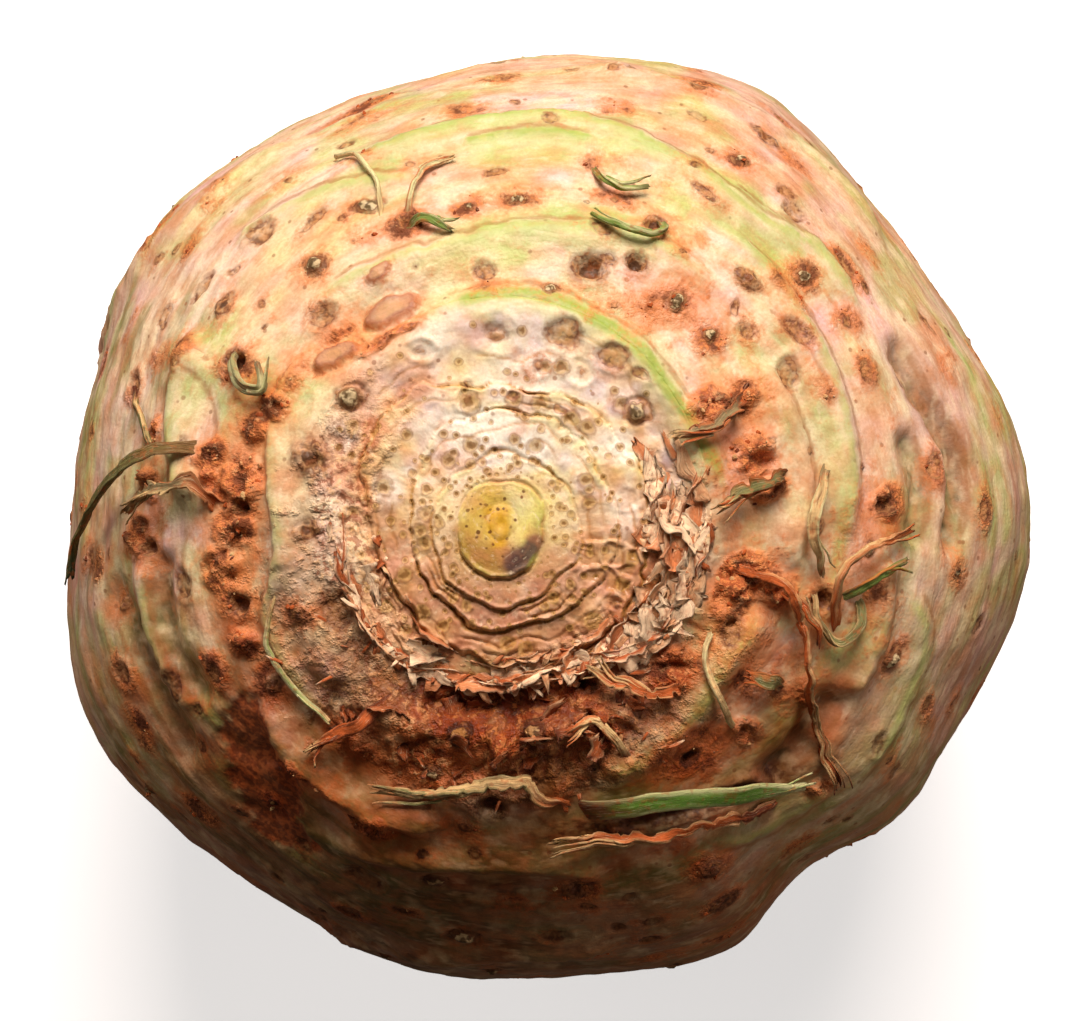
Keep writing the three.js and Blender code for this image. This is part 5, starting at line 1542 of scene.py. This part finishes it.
# %% List of strips
STALK, PALE_STALK, DULL_STALK = srgb(132, 158, 72), srgb(222, 218, 160), srgb(126, 124, 74)
STRAW, ORANGE, BARK, ASH = srgb(222, 186, 128), srgb(196, 96, 40), srgb(112, 52, 26), srgb(150, 132, 92)
STRIPS = [  # width, curl, turns, raggedness, loose strands, colours of foot, middle, tip and edges, path with lift
    (2.8, .15, .1, .15, 2, (BARK, srgb(116, 166, 58), PALE_STALK, PALE_STALK),
     [(8.8, -33.9, -1.2), (12, -33, .9), (19, -31.6, 2), (28, -30.4, 2.2), (35.6, -30.5, 1.4)]),
    (1.3, .3, .8, 1.2, 5, (BARK, ORANGE, STRAW, STRAW),
     [(34.5, -33.2, -1.2), (29, -34.4, .7), (20, -35.6, 1.3), (12, -36.3, 1.4), (6.5, -36.6, 1.2)]),
    (1.5, .5, 1.2, .9, 4, (ORANGE, STRAW, STRAW, DULL_STALK),
     [(9, -33.6, -1), (5, -31.2, 1.2), (.8, -28.7, 2), (-4, -30.2, 1.5), (-9, -31.2, 1.2), (-14, -30, 1.6)]),
    (1.15, .2, 1.5, 1.0, 4, (ORANGE, ORANGE, BARK, STRAW),
     [(27.6, -4.9, -1.2), (31.5, -6.9, 1.8), (34.2, -11.5, 2.6), (35.2, -17.5, 2.6), (37.3, -23.5, 2.2),
      (39.8, -30.4, 1.1)]),
    (1.1, .3, .6, .8, 1, (ORANGE, ORANGE, BARK, STRAW),
     [(32.6, -7.6, 1.6), (34.8, -10, 2.4), (36.6, -13.4, 2.2)]),
    (1.2, .8, .9, .6, 1, (ASH, STRAW, ASH, PALE_STALK),
     [(38.4, 7.1, -1), (36.6, 4, 1.6), (35.6, -.5, 1.8), (37.6, -5.6, .9)]),
    (1.3, .6, 1.4, .6, 2, (ORANGE, STRAW, ORANGE, ORANGE),
     [(39.8, -13, -1), (38.6, -9.4, 2.2), (39, -4.6, 2.8), (43, -2.1, 2.4), (48.6, -.7, 1.6)]),
    (1.2, .5, .5, .6, 1, (DULL_STALK, STALK, DULL_STALK, ORANGE),
     [(39.6, -8.9, -1), (43, -6.2, 2.2), (46.7, -4, 2.4)]),
    (1.2, .5, .9, .5, 1, (DULL_STALK, DULL_STALK, STRAW, STRAW),
     [(42.4, -8.2, -1), (41.8, -11.4, 1.3), (38.8, -13.5, 1.4), (36.4, -11, 1.2), (36.3, -8, .9)]),
    (1.5, 1.0, .7, .9, 4, (BARK, ASH, STRAW, ORANGE),
     [(29, 15.8, -1.1), (26.8, 13.5, 1.6), (23.8, 10.8, 1.6), (20.2, 10.1, 1.4)]),
    (1.8, .9, .5, .9, 3, (BARK, DULL_STALK, STRAW, ORANGE),
     [(33.4, 5.6, -1.1), (30.5, 5, 1.4), (28, 4, 1.7), (25.4, 2, 1.3)]),
    (1.8, .3, .3, .5, 1, (BARK, DULL_STALK, ORANGE, ORANGE),
     [(33.6, -19.4, -1), (31.2, -18.2, 1.2), (28.4, -17.1, 1.3)]),
    (.9, .3, .5, .3, 0, (STRAW, STRAW, PALE_STALK, PALE_STALK),
     [(28.4, -24.8, -.9), (26.4, -22.5, 1), (24.6, -18.8, 1.2), (23.5, -15.5, 1.1), (24.4, -12.6, .9)]),
    (1.6, .7, .6, .9, 3, (ORANGE, ORANGE, STRAW, STRAW),
     [(21.8, -18.8, -1.2), (17.5, -19.4, 1.6), (13.4, -18.6, 2.2), (10.8, -17, 2.2)]),
    (1.1, .4, .8, .8, 2, (BARK, STRAW, ORANGE, STRAW),
     [(14.8, -27.2, -1), (13.2, -24.9, 1.8), (10.6, -22.8, 2.2), (7.6, -23.3, 1.8)]),
    (1.6, .3, .2, .8, 4, (BARK, ORANGE, STRAW, BARK),
     [(-13, -20.9, -.8), (-15.6, -22, 1.7), (-18.4, -23.6, 1.6), (-21.8, -25.7, 1.4)]),
    (1.7, .4, .5, .35, 1, (srgb(140, 104, 60), srgb(112, 106, 56), srgb(36, 62, 30), DULL_STALK),
     [(-35.4, 9.2, -1), (-38.8, 8.5, 2), (-43, 6.2, 2.6), (-47.4, 2.2, 2.8), (-50.2, -2.2, 2.6),
      (-51.6, -6.4, 2)]),
    (1.9, 1.0, .5, .9, 4, (ORANGE, ASH, STRAW, STRAW),
     [(-33.4, 2.6, -1), (-35.6, 4.3, 2), (-39.4, 4, 2.6), (-43.4, 1.6, 1.8)]),
    (1.4, .7, .9, .4, 1, (ASH, PALE_STALK, ASH, DULL_STALK),
     [(-31.8, 20.3, -1), (-30.4, 18.2, 1.6), (-29.3, 15.9, 2), (-27.4, 15.6, 1.8), (-27.8, 18.4, 1.8)]),
    (.8, .6, .5, .5, 1, (ORANGE, PALE_STALK, STRAW, ORANGE),
     [(-11.3, 35.8, -1), (-10.4, 38.4, .9), (-9, 42, .9), (-5.6, 43.6, .8)]),
    (1.1, .6, .5, .5, 1, (BARK, STALK, DULL_STALK, PALE_STALK),
     [(-11.5, 35.9, -1), (-8.6, 35.3, 1.2), (-5.4, 34, .9)]),
    (.9, .6, 1.6, .4, 1, (DULL_STALK, STALK, DULL_STALK, PALE_STALK),
     [(10.8, 43.7, -1), (12.2, 40.8, 1.1), (14.2, 39.2, 1.2), (17.2, 39.4, 1.1)]),
    (1.0, .6, 1.7, .3, 1, (DULL_STALK, STALK, STALK, PALE_STALK),
     [(19, 36.2, -1), (19, 34.2, 1.3), (16.6, 33.2, 1.3), (13.4, 34.1, 1.2), (10.5, 36.4, 1)]),
    (.9, .3, .4, .4, 1, (BARK, DULL_STALK, ORANGE, STRAW),
     [(-45.6, 17.2, -.9), (-43.4, 13.8, 1.1), (-41.6, 10.6, 1.3), (-39.4, 8.4, 1.4)]),
    (.6, .3, .3, .3, 0, (STRAW, PALE_STALK, STRAW, STRAW),
     [(-14.3, 36, -.5), (-14.5, 40, .7), (-17, 43.3, .8), (-20, 44, .7)]),
    (.7, .3, .5, .3, 1, (STRAW, PALE_STALK, STRAW, STALK),
     [(-26, -8, -.5), (-27, -13, .5), (-24.5, -18, .6), (-20, -23, .6)]),
]


print(len(STRIPS), "strips")

# %% Torn strips
def lifted_line(path, points, normals, count, waver):
    """A smooth line over the skin through its points, each lifted along the normal there, with a slight waver."""
    line = smooth_path(points + normals * np.asarray(path, float)[:, 2:], count)
    share = np.linspace(0, len(path) - 1, count)
    up = np.stack([np.interp(share, np.arange(len(path)), normals[:, n]) for n in range(3)], axis=1)
    wobble = np.stack([noise(line, 3.0, 24 + n, 2) for n in range(3)], axis=1)
    line = line + waver * wobble * smooth(0, 0.2, share / share[-1])[:, None]
    return line, unit(up)


laid, across = skin_at([place[:2] for *_, path in STRIPS for place in path])
parts, between, used = [], np.random.default_rng(4).uniform, 0
for n, (width, curl, twist, tear, strands, colours, path) in enumerate(STRIPS):
    rows, mine = 14 * len(path), slice(used, used + len(path))
    used += len(path)
    line, up = lifted_line(path, laid[mine], across[mine], rows, 0.1 + 0.45 * tear)
    length = np.linalg.norm(np.diff(line, axis=0), axis=1).sum()
    shape = band(line, up, width, 0.55 + 0.15 * width, curl, 1.6 * twist, tear, 0.34 * tear, seed=n)
    parts.append(coloured(shape, length, width, colours, n, min(0.8, tear)))
    strand_colours = [colours[k] for k in (1, 3, 2, 1)]
    for k in range(strands):
        begin = int(rows * between(0.3, 0.75))
        piece = line[begin:].copy()
        spread = np.linspace(0, 1, len(piece))[:, None] ** 2
        side = unit(np.cross(up[begin:], np.gradient(piece, axis=0)))
        piece += side * (between(-0.35, 0.35) * width + spread * between(-1.6, 1.6))
        piece += up[begin:] * (0.3 + spread * between(-0.6, 0.9))
        piece += np.gradient(piece, axis=0) * spread * between(0, 2.5)
        shape = band(piece, up[begin:], between(0.25, 0.5), 0.25, 0, 1, 0.5, 0.2, seed=50 + k, around=8)
        parts.append(coloured(shape, length, 0.4, strand_colours, 50 + k))

strips = make_piece("torn_stalk_strips", *join_parts(parts))

# %% [markdown]
# ## Papery shreds
#
# On the torn side the leaf bases' edges dried into papery tissue: bands like the strips, made by rule. A membrane
# is ruffled and stands on an edge, a paper is a torn wall among the leaf bases, a flake is curled and lies below
# the crown, and a shred is pointed and bends outwards.

# %% Shreds
MEMBRANES, BROAD_PAPERS, PAPERS, FLAKES, SHREDS = 46, 34, 62, 26, 96
random = np.random.default_rng(21)
between = random.uniform


def towards(bearing):
    """The direction of a bearing in plan."""
    angle = math.radians(bearing)
    return np.array([math.cos(angle), math.sin(angle), 0])


def crown_point(place):
    """The crown's own point nearest to a place in plan."""
    x, y, _ = place
    return crown_points[np.argmin(np.hypot(crown_plain[:, 0] - x, crown_plain[:, 1] - y) + 9 * depth_all)]


def on_crown(ring, b, inwards):
    """The crown's own point just inside a ring's edge."""
    return crown_point((float(ring_edge(ring, b)) - inwards) * towards(b))


def torn_place(rings):
    """A ring and a bearing by chance, more often on the torn side."""
    return int(random.choice(rings)), 272 + 100 * between(-1, 1) * random.random() ** 0.4


SHRED_TONES = [srgb(240, 184, 134), srgb(214, 134, 84), srgb(255, 222, 182), srgb(180, 92, 44)]
parts = []
for n in range(MEMBRANES):  # a torn lip: it runs along the edge and stands up from it, ruffled
    ring, b = torn_place([4, 5, 5, 5, 5])
    span, height = between(3, 18), between(0.4, 1.9) * (0.4 + 0.6 * float(torn(b)))
    inwards = between(-0.5, 1.5)
    stops = np.linspace(-1, 1, max(4, int(span / 3)))
    drift = between(-0.8, 0.8)
    feet = [on_crown(ring, b + span * k, inwards + drift * k + 0.4 * between(-1, 1)) for k in stops]
    line = smooth_path(feet, 7 * len(stops))
    out = unit(line * [1, 1, 0])
    lean = between(-0.4, 1.1)
    up = out * math.cos(lean) - np.array([0, 0, math.sin(lean)])
    shape = band(line, up, 1.5 * height, 0.16, between(-0.3, 0.5), 0, 0.5, 0.75, seed=n, around=12)
    parts.append(coloured(shape, 6.0, height, (*[SHRED_TONES[n % 4]] * 3, SHRED_TONES[2]), n, 0.3))
for n in range(PAPERS):  # a torn wall, standing among the leaf bases in any direction, broad ones on one side
    broad = n < BROAD_PAPERS
    b, share = -10 + 34 * between(-1, 1), between(0.15, 0.95)
    if not broad:
        b, share = 264 + 66 * between(-1, 1), between(0.3, 1.02)
    r = float(ring_edge(4, b) + share * (ring_edge(5, b) - ring_edge(4, b)))
    heading = towards(b + 90 + 50 * between(-1, 1) ** 3)
    length = between(3, 7.5) * (1 if broad else 0.6)
    line = smooth_path([crown_point(r * towards(b) + heading * length * k) for k in (-0.6, -0.2, 0.2, 0.6)], 22)
    up = np.cross(np.gradient(line, axis=0), [0, 0, 1.0]) + [0, 0, between(0.2, 1.8)]
    height = between(1.6, 3.4) * (1 if broad else 0.55)
    shape = band(line, up, 1.4 * height, 0.2, between(-0.6, 0.6), 0, 0.6, 0.35, seed=70 + n, around=16)
    pale = SHRED_TONES[(2, 0, 2, 1)[n % 4]]
    parts.append(coloured(shape, 6.0, height, (pale, pale, pale, SHRED_TONES[2]), n, 0.3))
for n in range(FLAKES):  # a curled flake of torn skin, lying below the crown
    index = random.choice(np.flatnonzero(skin_marks["terrace"] > 0.6))
    foot, normal, size = skin_points[index], normals[index], between(0.6, 1.7)
    heading = towards(float(bearings[index]) + 90 + 60 * between(-1, 1))
    t = np.linspace(-1, 1, 12)[:, None]
    line = foot + size * t * heading
    line = line + normal * (0.15 + 0.5 * t**2 * random.random())
    up = normal + 0.8 * between(-1, 1) * np.cross(normal, line[-1] - line[0]) / size
    shape = band(line, up + 0 * line, 1.3 * size, 0.25, between(-0.6, 0.8), 0, 0.8, 0.5, seed=n, around=12)
    edge = SHRED_TONES[(3, 1, 3, 0)[n % 4]]
    parts.append(coloured(shape, 6.0, size, (BARK, SHRED_TONES[3] * 0.8, edge * 0.7, edge * 0.6), n))
for n in range(SHREDS):  # a pointed shred: it rises and bends outwards, or lies on the skin beside the crown
    ring, b = torn_place([4, 5, 5, 5, 5, 5])
    height = (0.4 + 1.8 * random.random() ** 1.5) * (0.4 + 0.6 * float(torn(b)))
    lean = between(0.8, 2.6)
    foot = on_crown(ring, b, between(-0.2, 1.2))
    lying = n % 5 == 0
    if lying:
        index = random.choice(np.flatnonzero(skin_marks["terrace"] > 0.35))
        foot, b, lean = skin_points[index], float(bearings[index]), 1.6 + between(-0.3, 0.5)
    out = towards(b)
    along = np.array([-out[1], out[0], 0]) * between(-2.5, 2.5)
    t = np.linspace(0, 1, 8)[:, None]
    rise = np.cos(lean * t) * [0, 0, 1] + np.sin(lean * t) * out
    line = foot + (t * 1.4 - 0.3) * height * rise + along * t**1.5
    up = np.cos(lean * t) * out - np.sin(lean * t) * [0, 0, 1]
    width = between(0.3, 0.6 if lying else 1.3)
    curl, twist = between(-0.6, 0.6), between(-1, 1)
    shape = band(line, up, width, 0.16, curl, twist, 0.5, 0.25, seed=n, around=10)
    pale = SHRED_TONES[3 if lying else n % 4]
    parts.append(coloured(shape, height, width, (SHRED_TONES[3], pale, SHRED_TONES[2], pale), n, 0.3))
shreds = make_piece("papery_shreds", *join_parts(parts))

# %% [markdown]
# ## Crumbs
#
# Crumbs of cork and soil cling to the rusty places. Each is a small flattened ball, roughened by noise, in rust
# mixed with straw, bark or orange.

# %% Crumbs
def crumb(centre, size, seed, rows=4, around=6):
    """A small ball whose radius changes with direction by noise."""
    s, a = np.linspace(0, np.pi, rows + 2)[1:-1, None], np.arange(around) * 2 * np.pi / around
    ball = np.stack([np.sin(s) * np.cos(a), np.sin(s) * np.sin(a), np.cos(s) + 0 * a], axis=-1).reshape(-1, 3)
    ball = np.vstack([[0, 0, 1], ball, [0, 0, -1]])
    ball *= (1 + 0.7 * noise(ball * 0.9 + seed, 1.0, 5))[:, None] * size * [1, 0.7, 0.35]
    turned = seed * 2.4 + np.array([0, np.pi / 2])
    ball[:, :2] = ball[:, :2] @ np.array([np.cos(turned), np.sin(turned)])
    return ball + centre, closed_faces([around] * rows)


CRUMBS = 420
parts = []
on_top = np.flatnonzero((skin_marks["rust"] > 0.55) & (skin_points[:, 2] > 40))
for n, index in enumerate(random.choice(on_top, CRUMBS, replace=False)):
    size = 0.12 + 0.35 * random.random() ** 3
    p, f = crumb(skin_points[index] + normals[index] * 0.1 * size, size, n)
    tone = blend(np.tile(RUST, (len(p), 1)), [STRAW, BARK, ORANGE][n % 3], np.full(len(p), random.random()))
    parts.append((p, f, {"tone": tone, "grain": p}))
crumbs = make_piece("cork_crumbs", *join_parts(parts))

# %% [markdown]
# ## Trimmed side roots
#
# Underneath, the thick side roots were cut off square among the knobs and thin ones snapped. Each is a band
# with a round section that leans downwards. The thick ones stand where the solid has them.

# %% Side roots
THICK_ROOTS, THIN_ROOTS = 13, 90
draw = seeded(3)
places = []  # polar angle, bearing, radius, length
for n in range(THICK_ROOTS):
    polar, bearing = 114 + 36 * (n + 0.5) / THICK_ROOTS, n * GOLDEN_TURN + 30 * next(draw)
    places.append((polar, bearing, 2.2 + 2.0 * next(draw), 0.6 + 1.8 * next(draw)))
for n in range(THIN_ROOTS):
    polar, bearing = 100 + 66 * (n + 0.5) / THIN_ROOTS, n * GOLDEN_TURN + 40 * random.random()
    places.append((polar, bearing, 0.15 + 0.35 * random.random() ** 2, 1 + 2.5 * random.random() ** 2))
print(len(places), "side roots")
parts = []
for n, (polar, bearing, radius, length) in enumerate(places):
    index = np.argmin(np.abs(polars - polar) + np.abs(turn(bearings, bearing)))
    normal, foot = normals[index], skin_points[index]
    axis = unit(normal + np.array([0, 0, -0.35]))
    thick = radius > 1
    t = np.r_[np.linspace(0, 1, 14), 1.004, 1.008, 1.012] if thick else np.linspace(0, 1, 7)
    t = t[:, None]
    bend = np.cross(axis, [0, 0, 1.0])
    line = foot + axis * (t * (length + 3) - 3) + bend * (0 if thick else random.uniform(-1, 1)) * t**2
    if foot[2] < 4:
        continue
    up = np.cross(axis, bend) + 0 * line
    tear, around = (0.12, 28) if thick else (0.3, 7)
    p, f, s, a = band(line, up, 2.2 * radius, 2.2 * radius, 0, 0, tear, 0.1, n, around)
    values = band_values(s, a, length, radius, (PINK_TAN * 0.8, PINK_TAN * 0.7, BARK, BARK), n)
    if thick:  # a straight side on a wide foot, and a flat cut face drawn in towards its middle
        row = np.r_[0, np.repeat(np.arange(len(line)), around), len(line) - 1]
        flare = (0.8 + 0.9 * smooth(9, 2, row)) / (0.45 + 0.55 * smooth(1.0, 0.7, s))
        flare *= np.interp(row, [13, 14, 15, 16], [1, 0.85, 0.55, 0.2])
        p = line[row] + (p - line[row]) * flare[:, None]
        face = srgb(214, 170, 112) * (1 + 0.25 * noise(p, 0.8, 33, 2))[:, None]
        values["tone"] = np.where((row > 13)[:, None], face, values["tone"])
    p[:, 2] = np.maximum(p[:, 2], 0.05)
    parts.append((p, f, values))
side_roots = make_piece("side_root_stubs", *join_parts(parts))

# %% [markdown]
# ## Dry fibre
#
# Strips, papers, crumbs and side roots are all dead tissue, and one finish serves them. Noise stretched along the
# fibres paints shade in the gaps between them and a highlight on their backs, and a finer one leaves rusty crust
# on them.

# %% Dry fibre
dry, w, surface = new_material("dry stalk fibre")
tone, fibre = w.named("tone", "Color"), w.noise(w.named("grain", "Vector"), 2.4, 3.0, 0.6, 0.3)
crust = w.noise(w.add("TexCoord", out="Object"), 1100.0, 2.0)
colour = w.films(
    tone,
    # a darker copy of the tone in the gaps: painted shade
    (w.step(fibre, 0.45, 0.3, 0.6), w.mix(1.0, tone, (150, 92, 60), "MULTIPLY")),
    # paler backs: painted highlight
    (w.step(fibre, 0.56, 0.7, 0.45), (246, 226, 184)),
    (w.step(crust, 0.54, 0.66, 0.4), (186, 92, 40)),
)
bumps = w.bump(w.plus(fibre, crust), 0.0003, 0.8)
w.fill(surface, {"Base Color": colour, "Roughness": 0.68, "Specular IOR Level": 0.3, "Normal": bumps})
for piece in (strips, shreds, crumbs, side_roots):
    piece.data.materials.append(dry)
print("dry finish:", len(dry.node_tree.nodes), "nodes")

# %% [markdown]
# ## Floor and light
#
# A pale floor and three large soft lights, as in a small studio: a strong one from above and behind, which rakes
# over the crown and leaves the near side in shade, and two weak ones from the sides. The floor is lit by itself,
# so it doesn't tint the root.

# %% Floor and light
floor_mesh = bpy.data.meshes.new("floor")
floor_mesh.from_pydata([(-2, -2, 0), (2, -2, 0), (2, 2, 0), (-2, 2, 0)], [], [(0, 1, 2, 3)])
floor = add_object("floor", floor_mesh)
floor_finish, w, surface = new_material("pale floor")
glow = {"Emission Color": (1, 1, 1, 1), "Emission Strength": 0.6}
w.fill(surface, {"Base Color": (0.9, 0.9, 0.9, 1), "Roughness": 0.9, **glow})
floor_mesh.materials.append(floor_finish)
floor.visible_diffuse = floor.visible_glossy = False

bpy.context.scene.view_settings.view_transform = "Standard"
world = bpy.data.worlds.new("world")
world.use_nodes = True
Wires(world.node_tree).fill(world.node_tree.nodes["Background"], {"Color": (1, 0.76, 0.58, 1), "Strength": 0.07})
bpy.context.scene.world = world

LIGHT_SIZE, LIGHT_COLOUR, LIT_POINT = 0.5, (1.0, 0.872, 0.795), Vector((0, 0, 0.06))


def area_light(name, place, power):
    """A square soft light that looks at the root."""
    data = bpy.data.lights.new(name, "AREA")
    data.size, data.energy, data.color = LIGHT_SIZE, power, LIGHT_COLOUR
    light = add_object(name, data)
    light.location = place
    light.rotation_euler = (LIT_POINT - Vector(place)).to_track_quat("-Z", "Y").to_euler()


area_light("key", (0.06, 0.68, 0.68), 12.8)
area_light("left fill", (-0.75, 0.4, 0.28), 1.8)
area_light("right fill", (0.75, -0.15, 0.3), 0.95)
print("lights:", [light.name for light in bpy.data.lights])
